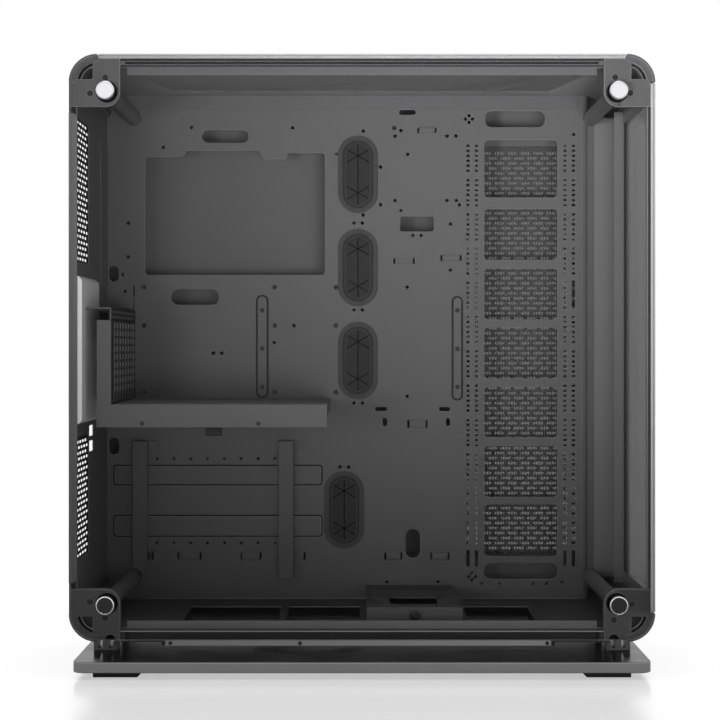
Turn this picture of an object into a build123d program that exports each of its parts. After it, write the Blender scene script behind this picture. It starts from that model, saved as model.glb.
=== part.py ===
from build123d import *
import math
import os

# Full-tower computer case with glass on the left, top and front, on a plate stand.
# X runs from the rear to the front, Y from the left glass to the right cover, Z up.
# The origin is on the floor, under the middle of the case.

os.makedirs("parts", exist_ok=True)

# Overall sizes
CASE_LENGTH = 621.0
CASE_TOP = 660.0
CASE_BOTTOM = 37.5
CORNER_R = 30.0
BASE_DEPTH = 260.0
SCREW_STAND = 13.0
CASE_DEPTH = 244.0
TRAY_SETBACK = 200.0

# Sheet, glass and clearances
SHEET = 1.5
GLASS_T = 5.0
SEAL_T = 2.5
COVER_T = 1.0
CLEAR = 0.3
ROUND_SIDES = 20
SMALL_SIDES = 12
END_SIDES = 6

# Base plate and feet
BASE_LENGTH = 610.0
BASE_TOP = 18.5
BASE_SKIRT = 11.5
BASE_SHEET = 2.0
BASE_CORNER = 12.0
FOOT_LENGTH = 52.0
FOOT_DEPTH = 22.0
FOOT_TAPER = 5.0
FOOT_INSET_X = 20.0
FOOT_INSET_Y = 13.0

# Lug clamps between the base and the case
CLAMP_LENGTH = 26.0
CLAMP_DEPTH = 18.0
CLAMP_PAD = 3.0
CLAMP_LUG = 5.0
CLAMP_LUG_MID = 7.0
CLAMP_LUG_HEIGHT = 10.0
CLAMP_INSET_X = 18.0
CLAMP_SETBACKS = (51.0, 190.0)

# Chassis walls and inner panels
INNER_GAP = 12.0
FLANGE_REACH = 18.0
HEM_HEIGHT = 497.0
TURN_DOWN = 8.0
RAIL_GAP = 0.5
RAIL_DEPTH = 11.0
RAIL_SHEET = 1.2
RAIL_END = 5.0
LIP_SETBACK = 10.0
LIP_GAP = 6.0
LIP_HEIGHT = 7.5
TOP_SLOT_COUNT = 6
TOP_SLOT_PITCH = 75.0
TOP_SLOT_LENGTH = 58.0
TOP_SLOT_WIDTH = 8.0
TOP_SLOT_SETBACK = 167.0

# Intake bays, shared by the floor, the bottom panel and the filter
BAY_SPANS = ((-196.0, -92.0), (-84.0, -2.0), (116.0, 190.0))
BAY_DEPTH = 124.0
BAY_SETBACK = 86.0

# Dust filter and its guides
FILTER_LENGTH = 408.0
FILTER_OFFSET = -4.0
FILTER_DEPTH = 192.0
FILTER_T = 3.3
FILTER_MESH_T = 0.8
GUIDE_WIDTH = 5.0
GUIDE_LEDGE = 4.0
GUIDE_LEDGE_T = 1.4

# Corner brackets, posts and glass screws
BRACKET_REACH = 54.5
BRACKET_EDGE_GAP = 2.0
BRACKET_NOTCH_X = 25.5
BRACKET_NOTCH_Z = 27.0
BRACKET_FOLD = 8.0
BRACKET_ROUND = 15.0
BRACKET_HOLE_R = 12.0
BRACKET_CUT_R = 6.0
BRACKET_CUT_IN = 44.0
POST_INSET = 40.5
POST_R = 11.6
POST_BORE_R = 10.4
POST_BORE_DEPTH = 15.0
SCREW_HEAD_R = 9.7
SCREW_SHANK_R = 4.0
GLASS_HOLE_GAP = 1.0
GLASS_INSET = 2.5

# Top and front glass
GLASS_DEPTH = 158.0
GLASS_END_GAP = 1.5
SEAL_WIDTH = 8.0
SEAL_SIDE = 6.0
STRIP_GAP = 1.0
STRIP_RECESS = 2.0
WINDOW_HEIGHT = 516.0
WINDOW_DEPTH = 149.0
CHANNEL_HEIGHT = 544.0
CHANNEL_SETBACK = 156.0
CHANNEL_NEAR = 10.0
CHANNEL_FAR = 26.5

# Rear panel
VENT_MARGIN = 5.0
VENT_COLS = 2
VENT_SLOT_W = 25.0
VENT_SLOT_H = 11.0
VENT_PITCH_Y = 32.0
VENT_PITCH_Z = 17.0
FAN_VENT_DROP = 70.0
FAN_VENT_ROWS = 9
LOWER_VENT_RISE = 89.0
LOWER_VENT_ROWS = 7
PASSAGE_WIDTH = 44.45
PASSAGE_HEIGHT = 158.75
PASSAGE_DROP = 76.0
PASSAGE_INSET = 4.0
PASSAGE_LAP = 3.0
PASSAGE_COVER_T = 1.0
SHIELD_DEPTH = 110.0
SHIELD_HEIGHT = 157.0
SHIELD_RISE = 230.5
SHIELD_T = 5.0
SHIELD_BEVEL = 4.0
INLET_DEPTH = 28.0
INLET_HEIGHT = 12.0
INLET_SETBACK = 76.0
INLET_RISE = 196.0
INLET_PITCH = 17.0

# Recessed slot bracket and its covers
SLOT_COUNT = 8
SLOT_PITCH = 20.32
SLOT_WIDTH = 13.0
SLOT_HEIGHT = 86.0
SLOT_RISE = 3.0
SLOT_PLANE_GAP = 31.5
SLOT_BRACKET_HEIGHT = 104.0
SLOT_FLANGE = 14.0
SLOT_FLANGE_HEIGHT = 90.5
SLOT_COVER_W = 18.4
SLOT_COVER_T = 0.8
SLOT_COVER_TAB = 11.0
COVER_VENT_W = 5.0
COVER_VENT_H = 74.0

# Card shelf, uprights and latch
SHELF_SETBACK = 20.0
SHELF_LENGTH = 264.0
SHELF_RISE = 250.5
SHELF_LIP = 24.5
SHELF_END = 12.0
SHELF_START = 17.0
UPRIGHT_WIDTH = 17.0
UPRIGHT_DEPTH = 12.0
UPRIGHT_FOOT = 12.0
UPRIGHT_HEIGHT = 162.0
UPRIGHT_RISE = 39.0
UPRIGHT_PLACES = (31.5, 203.5)
LATCH_LENGTH = 18.0
LATCH_DEPTH = 14.0
LATCH_HEIGHT = 33.0
LATCH_PLACE = 132.5
LATCH_SETBACK = 34.0

# Motherboard zone of the tray, from the rear wall and the case top
TRAY_END_GAP = 32.5
TRAY_RETURN = 11.0
BOARD_PLACE = 43.4
BOARD_DROP = 240.0
BOARD_COLS = (0.0, 227.33)
BOARD_DOWN = 124.46
STANDOFF_HOLE_R = 1.75
CPU_LENGTH = 213.0
CPU_HEIGHT = 139.7
CPU_PLACE = 44.6
CPU_DROP = 86.0
CPU_CUT = 3.0
CPU_STEPS = ((94.5, 179.5, 7.5), (213.9, 254.1, 4.7))
PASS_SLOTS = ((139.7, 61.6, 55.3, 15.4), (103.8, 251.6, 56.8, 18.9), (361.6, 543.5, 17.2, 34.4))
POCKETS = ((462.5, 21.5), (522.4, 23.1))
POCKET_LENGTH = 245.0
POCKET_PLACE = 8.5
POCKET_DEPTH = 0.7
CABLE_HOLES = ((366.6, 165.2, 40.2, 17.8), (7.7, 224.0, 12.0, 18.4), (7.7, 428.3, 12.0, 19.5))

# Cable grommets
GROMMET_HEIGHT = 91.5
GROMMET_WIDTH = 47.0
GROMMET_PLACES = ((296.7, 106.4), (296.7, 216.7), (296.7, 326.8), (280.4, 503.4))
GROMMET_RIM = 5.0
GROMMET_RIM_T = 1.5
GROMMET_LAP = 2.0
GROMMET_SLIT = 1.2
GROMMET_SLIT_L = 69.0

# Radiator windows and slot columns, from the front wall and the case bottom
RAD_CENTRE_GAP = 113.5
RAD_WINDOW_W = 86.5
RAD_WINDOW_H = 60.3
RAD_WINDOW_PITCH = 70.0
RAD_WINDOW_COUNT = 6
RAD_WINDOW_RISE = 63.8
RAD_TOP_WINDOW_H = 68.0
RAD_TOP_WINDOW_RISE = 488.7
RAD_CUT = 3.0
END_SLOT_H = 19.0
END_SLOT_RISES = (37.0, 571.5)
FAN_SPACINGS = (105.0, 124.5)
RAD_SLOT_W = 4.5
RAD_SLOT_H = 116.0
RAD_SLOT_PITCH = 126.0
RAD_SLOT_COUNT = 4
RAD_SLOT_RISE = 51.5

# Cable rails on the tray
RAIL_STRIP_W = 11.0
RAIL_STRIP_H = 121.0
RAIL_STRIP_T = 2.0
RAIL_STRIP_RISE = 251.0
RAIL_STRIP_PLACES = (183.5, 414.3)

# Drive bracket
DRIVE_WIDTH = 104.0
DRIVE_HEIGHT = 16.5
DRIVE_PLACE = 306.5
DRIVE_SETBACK = 40.0
DRIVE_SLOT_L = 53.0
DRIVE_SLOT_D = 48.0
DRIVE_SLOT_SETBACK = 86.0
DRIVE_HOLE = 4.0
DRIVE_HOLE_COUNT = 3
DRIVE_HOLE_PITCH = 48.0
DRIVE_HOLE_INSET = 8.0
THUMB_R = 5.5
THUMB_T = 7.0

# Right cover
COVER_SLOT_L = 28.0
COVER_SLOT_H = 20.0
COVER_PITCH_X = 38.0
COVER_PITCH_Z = 57.0
COVER_COLS = 3
COVER_ROWS = 9

# Front strip, buttons and ports
PORT_SETBACK = 222.0
PORT_DROP = 70.0
PORT_PITCH = 28.0
BUTTON_R = 8.0
RESET_R = 3.0
BUTTON_PROUD = 1.5
BUTTON_RIM = 1.2
BUTTON_RIM_T = 1.5
BUTTON_STEM_W = 4.0
BUTTON_STEM = 2.0
BUTTON_TRAVEL = 1.5
SWITCH_LENGTH = 8.0
SWITCH_SIZE = 9.0
USB_W = 6.5
USB_H = 14.0
USB_C_W = 3.4
USB_C_H = 9.2
PORT_DEPTH = 16.0
PORT_WALL = 0.6
JACK_R = 3.6
JACK_BORE_R = 1.8
PORT_BOARD_T = 1.6
PORT_BOARD_DEPTH = 16.0
PORT_BOARD_LAP = 9.0
PORT_CUT_HALF = 12.0

# Planes worked out from the sizes
HALF = CASE_LENGTH / 2
FACE_Y = -BASE_DEPTH / 2 + SCREW_STAND
EDGE_Y = FACE_Y + SHEET
BACK_Y = FACE_Y + CASE_DEPTH
END_Y = BACK_Y - COVER_T
TRAY_Y = FACE_Y + TRAY_SETBACK
LIP_Y = FACE_Y + LIP_SETBACK
GLASS_END_Y = FACE_Y + GLASS_DEPTH
WALL_GAP = GLASS_T + SEAL_T
REAR_X = -HALF + WALL_GAP + SHEET
FRONT_X = -REAR_X
ARC_X = HALF - CORNER_R
ARC_TOP = CASE_TOP - CORNER_R
ARC_BOTTOM = CASE_BOTTOM + CORNER_R
MID_Z = (CASE_TOP + CASE_BOTTOM) / 2
HALF_Z = (CASE_TOP - CASE_BOTTOM) / 2
WALL_R = CORNER_R - WALL_GAP
INNER_R = CORNER_R - INNER_GAP
INNER_HALF = ARC_X + INNER_R
CEILING_Z = CASE_TOP - INNER_GAP - SHEET
FLOOR_Z = CASE_BOTTOM + INNER_GAP + SHEET
TURN_Z = ARC_TOP - TURN_DOWN
PANE_X = ARC_X - GLASS_END_GAP
PANE_BOTTOM = ARC_BOTTOM + GLASS_END_GAP
PANE_TOP = ARC_TOP - GLASS_END_GAP
POST_X = HALF - POST_INSET
POST_LEVELS = (CASE_BOTTOM + POST_INSET, CASE_TOP - POST_INSET)
SHELF_TOP = CASE_BOTTOM + SHELF_RISE
SHELF_Y = FACE_Y + SHELF_SETBACK
SLOT_X = REAR_X + SLOT_PLANE_GAP
FILTER_TOP = CASE_BOTTOM - CLEAR
RAD_X = FRONT_X - RAD_CENTRE_GAP
TRAY_END_X = FRONT_X - TRAY_END_GAP
STRIP_X = HALF - STRIP_RECESS
PORT_Y = FACE_Y + PORT_SETBACK


def block(x0, x1, y0, y1, z0, z1):
    """A box between two corners."""
    centre = Pos((x0 + x1) / 2, (y0 + y1) / 2, (z0 + z1) / 2)
    return centre * Box(x1 - x0, y1 - y0, z1 - z0)


def facing_sheet(sketch, y0, y1):
    """A sketch drawn in X and Z, given a thickness along Y."""
    plane = Plane(origin=(0, y1, 0), x_dir=(1, 0, 0), z_dir=(0, -1, 0))
    return extrude(plane * sketch, y1 - y0)


def cross_sheet(sketch, x0, x1):
    """A sketch drawn in Y and Z, given a thickness along X."""
    plane = Plane(origin=(x0, 0, 0), x_dir=(0, 1, 0), z_dir=(1, 0, 0))
    return extrude(plane * sketch, x1 - x0)


def flat_sheet(sketch, z0, z1):
    """A sketch drawn in X and Y, given a thickness along Z."""
    return extrude(Plane.XY.offset(z0) * sketch, z1 - z0)


def rect(x0, x1, y0, y1):
    """A rectangle between two corners, in a sketch."""
    return Pos((x0 + x1) / 2, (y0 + y1) / 2) * Rectangle(x1 - x0, y1 - y0)


def rounded(x0, x1, y0, y1, radius):
    """A rectangle with rounded corners, in a sketch."""
    return Pos((x0 + x1) / 2, (y0 + y1) / 2) * RectangleRounded(x1 - x0, y1 - y0, radius)


def disc(radius, sides=ROUND_SIDES):
    """A round shape with few sides, in a sketch."""
    return RegularPolygon(radius, sides)


def oblong(x, y, width, height):
    """A slot with many-sided round ends, in a sketch."""
    radius = min(width, height) / 2
    if width > height:
        turn, reach = 0, width / 2 - radius
    else:
        turn, reach = 90, height / 2 - radius
    points = []
    for start, centre in ((-90, reach), (90, -reach)):
        for step in range(END_SIDES + 1):
            angle = math.radians(start + step * 180 / END_SIDES)
            points.append((centre + radius * math.cos(angle), radius * math.sin(angle)))
    return Pos(x, y) * Rot(0, 0, turn) * Polygon(*points, align=None)


def cut_corners(x0, x1, y0, y1, cut):
    """A rectangle with its corners cut off, in a sketch."""
    return Polygon((x0 + cut, y0), (x1 - cut, y0), (x1, y0 + cut), (x1, y1 - cut),
                   (x1 - cut, y1), (x0 + cut, y1), (x0, y1 - cut), (x0, y0 + cut), align=None)


def mirror_x(shape):
    """The same shape at the other end of the case."""
    return mirror(shape, about=Plane.YZ)


def mirror_up(shape):
    """The same shape on the other side of the case's middle height."""
    return mirror(shape, about=Plane.XY.offset(MID_Z))


def rod(section, y0, y1, x, z):
    """A bar along Y with the given section."""
    return facing_sheet(Pos(x, z) * section, y0, y1)


def save(name, *pieces):
    """One file for one named piece or set of like pieces."""
    solids = []
    for piece in pieces:
        solids.extend(piece.solids())
    export_step(solids[0] if len(solids) == 1 else Compound(children=solids), f"parts/{name}.step")


# Stand

def base_plate():
    """Folded plate with four rounded corners, open below."""
    bottom = BASE_TOP - BASE_SKIRT
    outer = flat_sheet(RectangleRounded(BASE_LENGTH, BASE_DEPTH, BASE_CORNER), bottom, BASE_TOP)
    length = BASE_LENGTH - 2 * BASE_SHEET
    depth = BASE_DEPTH - 2 * BASE_SHEET
    inner = RectangleRounded(length, depth, BASE_CORNER - BASE_SHEET)
    return outer - flat_sheet(inner, bottom, BASE_TOP - BASE_SHEET)


def base_feet():
    """Four rubber pads with a tapered inner end."""
    x1 = BASE_LENGTH / 2 - FOOT_INSET_X
    x0 = x1 - FOOT_LENGTH
    y0 = -BASE_DEPTH / 2 + FOOT_INSET_Y
    top = BASE_TOP - BASE_SHEET
    side = Polygon((x0 + FOOT_TAPER, 0), (x1, 0), (x1, top), (x0, top), (x0, FOOT_TAPER), align=None)
    foot = facing_sheet(side, y0, y0 + FOOT_DEPTH)
    pair = [foot, mirror_x(foot)]
    return pair + [mirror(one, about=Plane.XZ) for one in pair]


def stand_clamps():
    """Four pads with three lugs, the middle one up to the case."""
    x1 = HALF - CLAMP_INSET_X
    x0 = x1 - CLAMP_LENGTH
    mid = (x0 + x1) / 2
    half = CLAMP_LUG_MID / 2
    shoulder = CASE_BOTTOM - half / 2
    middle = Polygon(
        (mid - half, BASE_TOP), (mid + half, BASE_TOP), (mid + half, shoulder),
        (mid + half / 2, CASE_BOTTOM), (mid - half / 2, CASE_BOTTOM), (mid - half, shoulder), align=None)
    clamps = []
    for setback in CLAMP_SETBACKS:
        y0 = FACE_Y + setback
        y1 = y0 + CLAMP_DEPTH
        clamp = block(x0, x1, y0, y1, BASE_TOP, BASE_TOP + CLAMP_PAD)
        for lug in (x0, x1 - CLAMP_LUG):
            clamp += block(lug, lug + CLAMP_LUG, y0, y1, BASE_TOP, BASE_TOP + CLAMP_LUG_HEIGHT)
        clamp += facing_sheet(middle, y0, y1)
        clamps += [clamp, mirror_x(clamp)]
    return clamps


# Bottom of the case

def bays():
    """Sketches of the intake bays."""
    y = FACE_Y + BAY_SETBACK
    return [rect(x0, x1, y - BAY_DEPTH / 2, y + BAY_DEPTH / 2) for x0, x1 in BAY_SPANS]


def bottom_panel():
    """Flat sheet that closes the underside, with the intake bays."""
    sheet = rect(-ARC_X, ARC_X, FACE_Y + RAIL_DEPTH, END_Y) - bays()
    return flat_sheet(sheet, CASE_BOTTOM, CASE_BOTTOM + SHEET)


def dust_filter():
    """Filter frame whose mesh fields lie flush with its top, one under each bay."""
    x0 = FILTER_OFFSET - FILTER_LENGTH / 2
    bottom = FILTER_TOP - FILTER_T
    outline = rect(x0, x0 + FILTER_LENGTH, FACE_Y, FACE_Y + FILTER_DEPTH)
    frame = flat_sheet(outline, bottom, FILTER_TOP)
    for bay in bays():
        frame -= flat_sheet(bay, bottom, FILTER_TOP - FILTER_MESH_T)
    return frame


def filter_guides():
    """Two ledged guides that carry the filter's ends."""
    guides = []
    y0 = FACE_Y + RAIL_DEPTH
    y1 = FACE_Y + FILTER_DEPTH
    ledge_top = FILTER_TOP - FILTER_T - CLEAR
    bottom = ledge_top - GUIDE_LEDGE_T
    for side in (-1, 1):
        edge = FILTER_OFFSET + side * (FILTER_LENGTH / 2 + CLEAR)
        far = edge + side * GUIDE_WIDTH
        near = edge - side * GUIDE_LEDGE
        wall = block(min(edge, far), max(edge, far), y0, y1, bottom, CASE_BOTTOM)
        guides.append(wall + block(min(near, far), max(near, far), y0, y1, bottom, ledge_top))
    return guides


def side_rail(z0, z1):
    """Channel between the corner brackets that opens to the left side, with closed ends."""
    x = HALF - BRACKET_REACH - RAIL_GAP
    y1 = FACE_Y + RAIL_DEPTH
    rail = block(-x, x, FACE_Y, y1, z0, z1)
    hollow_x = x - RAIL_END
    return rail - block(-hollow_x, hollow_x, FACE_Y, y1 - RAIL_SHEET, z0 + RAIL_SHEET, z1 - RAIL_SHEET)


def turned_panel(openings):
    """Inner panel across the case, with rounded turned ends and a lip along its left edge."""
    outer = CASE_TOP - INNER_GAP
    far = outer - 4 * INNER_R
    path = rounded(-INNER_HALF, INNER_HALF, far, outer, INNER_R)
    inside = INNER_HALF - SHEET
    ring = path - rounded(-inside, inside, far, outer - SHEET, INNER_R - SHEET)
    ring &= rect(-INNER_HALF, INNER_HALF, TURN_Z, outer)
    panel = facing_sheet(ring, LIP_Y, END_Y)
    fold_x = HALF - BRACKET_REACH + SHEET + CLEAR
    end = facing_sheet(ring & rect(fold_x, INNER_HALF, TURN_Z, outer), EDGE_Y, LIP_Y)
    panel += end
    panel += mirror_x(end)
    lip_x = HALF - BRACKET_REACH - LIP_GAP
    panel += block(-lip_x, lip_x, LIP_Y, LIP_Y + SHEET, CEILING_Z - LIP_HEIGHT, outer)
    for opening in openings:
        panel -= flat_sheet(opening, CEILING_Z - SHEET, outer + SHEET)
    return panel


def top_panel():
    """Inner ceiling with a row of cable slots near the tray."""
    y = FACE_Y + TOP_SLOT_SETBACK
    first = -TOP_SLOT_PITCH * (TOP_SLOT_COUNT - 1) / 2
    slot = Rectangle(TOP_SLOT_LENGTH, TOP_SLOT_WIDTH)
    return turned_panel([Pos(first + i * TOP_SLOT_PITCH, y) * slot for i in range(TOP_SLOT_COUNT)])


def floor_panel():
    """Inner floor with the intake bays."""
    return mirror_up(turned_panel(bays()))


# Corners

def corner_bar():
    """Rounded bar across the case, at the front top corner."""
    quarter = (Circle(CORNER_R) - Circle(WALL_R)) & rect(0, CORNER_R, 0, CORNER_R)
    return facing_sheet(Pos(ARC_X, ARC_TOP) * quarter, FACE_Y, END_Y)


def corner_bracket(side_gap, edge_gap, with_cut):
    """L plate with a hole, folded back along its inner edges, at the front top corner."""
    x0 = HALF - BRACKET_REACH
    x1 = HALF - side_gap
    z0 = CASE_TOP - BRACKET_REACH - SHEET
    z1 = CASE_TOP - edge_gap
    outline = rounded(x0, x1 + BRACKET_ROUND, z0, z1 + BRACKET_ROUND, BRACKET_ROUND) & rect(x0, x1, z0, z1)
    outline -= rect(HALF - BRACKET_NOTCH_X, HALF, CASE_TOP - BRACKET_NOTCH_Z, CASE_TOP)
    outline -= Pos(ARC_X, ARC_TOP) * (
        (Circle(2 * CORNER_R) - Circle(WALL_R)) & rect(0, 2 * CORNER_R, 0, 2 * CORNER_R))
    inner = rounded(x0 + SHEET, HALF + BRACKET_REACH, z0 + SHEET, CASE_TOP + BRACKET_REACH,
                    BRACKET_ROUND - SHEET)
    fold = (outline - inner) & rect(x0, FRONT_X - CLEAR, z0, CEILING_Z - CLEAR)
    plate = outline - Pos(POST_X, POST_LEVELS[1]) * disc(BRACKET_HOLE_R)
    if with_cut:
        plate -= Pos(HALF - BRACKET_CUT_IN, z1) * disc(BRACKET_CUT_R, SMALL_SIDES)
    return facing_sheet(plate, FACE_Y, EDGE_Y) + facing_sheet(fold, EDGE_Y, EDGE_Y + BRACKET_FOLD)


def corner_post(x, z):
    """Round post from the bracket to the tray, hollow at its outer end."""
    post = rod(disc(POST_R), EDGE_Y, TRAY_Y, x, z)
    return post - rod(disc(POST_BORE_R), EDGE_Y, EDGE_Y + POST_BORE_DEPTH, x, z)


def glass_screw(x, z):
    """Round-headed screw that holds the left glass and reaches the bottom of the post's bore."""
    pane_y = FACE_Y - GLASS_T
    head = rod(Circle(SCREW_HEAD_R), FACE_Y - SCREW_STAND, pane_y, x, z)
    return head + rod(disc(SCREW_SHANK_R, SMALL_SIDES), pane_y, EDGE_Y + POST_BORE_DEPTH, x, z)


def left_glass():
    """Rounded pane with a hole for each screw."""
    x = HALF - GLASS_INSET
    z = HALF_Z - GLASS_INSET
    pane = rounded(-x, x, MID_Z - z, MID_Z + z, CORNER_R - GLASS_INSET)
    for hole_x in (-POST_X, POST_X):
        for hole_z in POST_LEVELS:
            pane -= Pos(hole_x, hole_z) * disc(SCREW_SHANK_R + GLASS_HOLE_GAP, SMALL_SIDES)
    return facing_sheet(pane, FACE_Y - GLASS_T, FACE_Y)


# Top and front

def top_glass():
    """Pane between the two top corner bars."""
    return block(-PANE_X, PANE_X, FACE_Y, GLASS_END_Y, CASE_TOP - GLASS_T, CASE_TOP)


def top_seal():
    """Seal frame between the top glass and what carries it."""
    z1 = CASE_TOP - GLASS_T
    outer = rect(-PANE_X, PANE_X, EDGE_Y, GLASS_END_Y)
    inner_x = PANE_X - SEAL_WIDTH
    inner = rect(-inner_x, inner_x, EDGE_Y + SEAL_WIDTH, GLASS_END_Y - SEAL_WIDTH)
    return flat_sheet(outer - inner, z1 - SEAL_T, z1)


def top_strip():
    """Steel channel beside the top glass, over the cable chamber."""
    y0 = GLASS_END_Y + STRIP_GAP
    z0 = CASE_TOP - WALL_GAP
    strip = block(-PANE_X, PANE_X, y0, END_Y, CASE_TOP - SHEET, CASE_TOP)
    strip += block(-PANE_X, PANE_X, y0, y0 + SHEET, z0, CASE_TOP)
    return strip + block(-PANE_X, PANE_X, END_Y - SHEET, END_Y, z0, CASE_TOP)


def end_wall(openings, hem):
    """Wall at one end of the case, drawn at the rear, with rounded turned edges."""
    half = ARC_X + WALL_R
    low = ARC_BOTTOM - WALL_R
    high = ARC_TOP + WALL_R
    ring = rounded(-half, half, low, high, WALL_R)
    ring -= rounded(REAR_X, FRONT_X, low + SHEET, high - SHEET, WALL_R - SHEET)
    ring &= rect(-half, -ARC_X + FLANGE_REACH, low, high)
    wall = facing_sheet(ring, EDGE_Y, END_Y)
    if hem:
        edge = rect(-HALF, REAR_X, MID_Z - HEM_HEIGHT / 2, MID_Z + HEM_HEIGHT / 2)
        wall += facing_sheet(edge, FACE_Y, EDGE_Y)
    for opening in openings:
        wall -= cross_sheet(opening, -half - SHEET, REAR_X + SHEET)
    return wall


def port_z(place):
    """Height of a place in the row of buttons and ports, counted from the top."""
    return CASE_TOP - PORT_DROP - place * PORT_PITCH


def front_wall():
    """Front wall with the large window behind the glass and a cut-out for the ports."""
    y1 = FACE_Y + CHANNEL_SETBACK
    window = rect(y1 - WINDOW_DEPTH, y1, MID_Z - WINDOW_HEIGHT / 2, MID_Z + WINDOW_HEIGHT / 2)
    low = port_z(5) - PORT_PITCH / 2
    ports = rect(PORT_Y - PORT_CUT_HALF, PORT_Y + PORT_CUT_HALF, low, port_z(0) + PORT_PITCH / 2)
    return mirror_x(end_wall([window, ports], False))


def front_glass():
    """Pane in front of the wall, between the two front corner bars."""
    return block(HALF - GLASS_T, HALF, FACE_Y, GLASS_END_Y, PANE_BOTTOM, PANE_TOP)


def front_seal():
    """Seal frame between the front glass and the wall."""
    outer = rect(EDGE_Y, GLASS_END_Y, PANE_BOTTOM, PANE_TOP)
    low = PANE_BOTTOM + SEAL_WIDTH
    high = PANE_TOP - SEAL_WIDTH
    inner = rect(EDGE_Y + SEAL_SIDE, GLASS_END_Y - SEAL_SIDE / 2, low, high)
    return cross_sheet(outer - inner, HALF - WALL_GAP, HALF - GLASS_T)


def front_channel():
    """Channel along the wall behind the window, with a narrow and a wide flange."""
    z0 = MID_Z - CHANNEL_HEIGHT / 2
    z1 = MID_Z + CHANNEL_HEIGHT / 2
    y0 = FACE_Y + CHANNEL_SETBACK
    y1 = TRAY_Y + 2 * SHEET
    web = block(FRONT_X - SHEET, FRONT_X, y0, y1, z0, z1)
    near = block(FRONT_X - CHANNEL_NEAR, FRONT_X, y0, y0 + SHEET, z0, z1)
    far = block(FRONT_X - CHANNEL_FAR, FRONT_X, y1 - SHEET, y1, z0, z1)
    return web + near + far


def front_strip():
    """Steel strip beside the front glass, with the button and port cut-outs."""
    y0 = GLASS_END_Y + STRIP_GAP
    face = rect(y0, END_Y, PANE_BOTTOM, PANE_TOP)
    face -= Pos(PORT_Y, port_z(0)) * Circle(BUTTON_R + CLEAR)
    face -= Pos(PORT_Y, port_z(1)) * disc(RESET_R + CLEAR, SMALL_SIDES)
    for place in (2, 3):
        face -= Pos(PORT_Y, port_z(place)) * Rectangle(USB_W + CLEAR, USB_H + CLEAR)
    face -= Pos(PORT_Y, port_z(4)) * Rectangle(USB_C_W + CLEAR, USB_C_H + CLEAR)
    face -= Pos(PORT_Y, port_z(5)) * disc(JACK_R + CLEAR, SMALL_SIDES)
    strip = cross_sheet(face, STRIP_X - SHEET, STRIP_X)
    wall_x = HALF - WALL_GAP
    strip += block(wall_x, STRIP_X, y0, y0 + SHEET, PANE_BOTTOM, PANE_TOP)
    return strip + block(wall_x, STRIP_X, END_Y - SHEET, END_Y, PANE_BOTTOM, PANE_TOP)


def rim_x():
    """Back of a button's rim, which sits behind the strip."""
    return STRIP_X - SHEET - CLEAR - BUTTON_RIM_T


def push_button(section, radius, place):
    """Button with a square rim behind the strip and a stem towards its switch."""
    centre = Pos(PORT_Y, port_z(place))
    back = rim_x()
    button = cross_sheet(centre * section, back, STRIP_X + BUTTON_PROUD)
    rim = 2 * (radius + BUTTON_RIM)
    button += cross_sheet(centre * Rectangle(rim, rim), back, back + BUTTON_RIM_T)
    return button + cross_sheet(centre * Rectangle(BUTTON_STEM_W, BUTTON_STEM_W), back - BUTTON_STEM, back)


def button_switches():
    """Switch body behind each button, on the port board."""
    face = rim_x() - BUTTON_STEM - BUTTON_TRAVEL - CLEAR
    board_y = PORT_Y - USB_W / 2
    switches = []
    for place in (0, 1):
        z = port_z(place)
        switches.append(block(face - SWITCH_LENGTH, face, board_y, board_y + SWITCH_SIZE,
                              z - SWITCH_SIZE / 2, z + SWITCH_SIZE / 2))
    return switches


def port_board():
    """Circuit board that carries the switches and ports, against the front wall."""
    y1 = PORT_Y - USB_W / 2
    low = port_z(5) - PORT_PITCH / 2 - PORT_BOARD_LAP
    high = port_z(0) + PORT_PITCH / 2 + PORT_BOARD_LAP
    return block(FRONT_X - PORT_BOARD_DEPTH, FRONT_X, y1 - PORT_BOARD_T, y1, low, high)


def port_shell(width, height, place):
    """Open metal shell of a port, with its tongue."""
    centre = Pos(PORT_Y, port_z(place))
    x0 = STRIP_X - PORT_DEPTH
    shell = cross_sheet(centre * Rectangle(width, height), x0, STRIP_X)
    inner = centre * Rectangle(width - 2 * PORT_WALL, height - 2 * PORT_WALL)
    shell -= cross_sheet(inner, x0 + PORT_WALL, STRIP_X)
    tongue = centre * Rectangle(width / 4, height - 4 * PORT_WALL)
    return shell + cross_sheet(tongue, x0, STRIP_X - 2 * PORT_WALL)


def port_seat(place, width):
    """Block that fills the room between a narrow port and the board."""
    z = port_z(place)
    board_y = PORT_Y - USB_W / 2
    x0 = STRIP_X - PORT_DEPTH
    return block(x0, x0 + SWITCH_LENGTH, board_y, PORT_Y - width / 2, z - width / 2, z + width / 2)


def audio_jack():
    """Round socket with a bore."""
    centre = Pos(PORT_Y, port_z(5))
    x0 = STRIP_X - PORT_DEPTH
    y0 = PORT_Y - USB_W / 2
    body = block(x0, FRONT_X, y0, y0 + 2 * JACK_R, port_z(5) - JACK_R, port_z(5) + JACK_R)
    body += cross_sheet(centre * disc(JACK_R, SMALL_SIDES), FRONT_X, STRIP_X)
    return body - cross_sheet(centre * disc(JACK_BORE_R, SMALL_SIDES), x0 + PORT_WALL, STRIP_X)


# Rear

def vent_grid(rows, top):
    """Staggered grid of vent openings that starts at the left edge."""
    holes = []
    y0 = EDGE_Y + VENT_MARGIN + VENT_SLOT_W / 2
    for row in range(rows):
        shift = VENT_PITCH_Y / 4 if row % 2 else 0
        for col in range(VENT_COLS):
            z = top - VENT_SLOT_H / 2 - row * VENT_PITCH_Z
            holes.append(Pos(y0 + shift + col * VENT_PITCH_Y, z) * Rectangle(VENT_SLOT_W, VENT_SLOT_H))
    return holes


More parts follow.
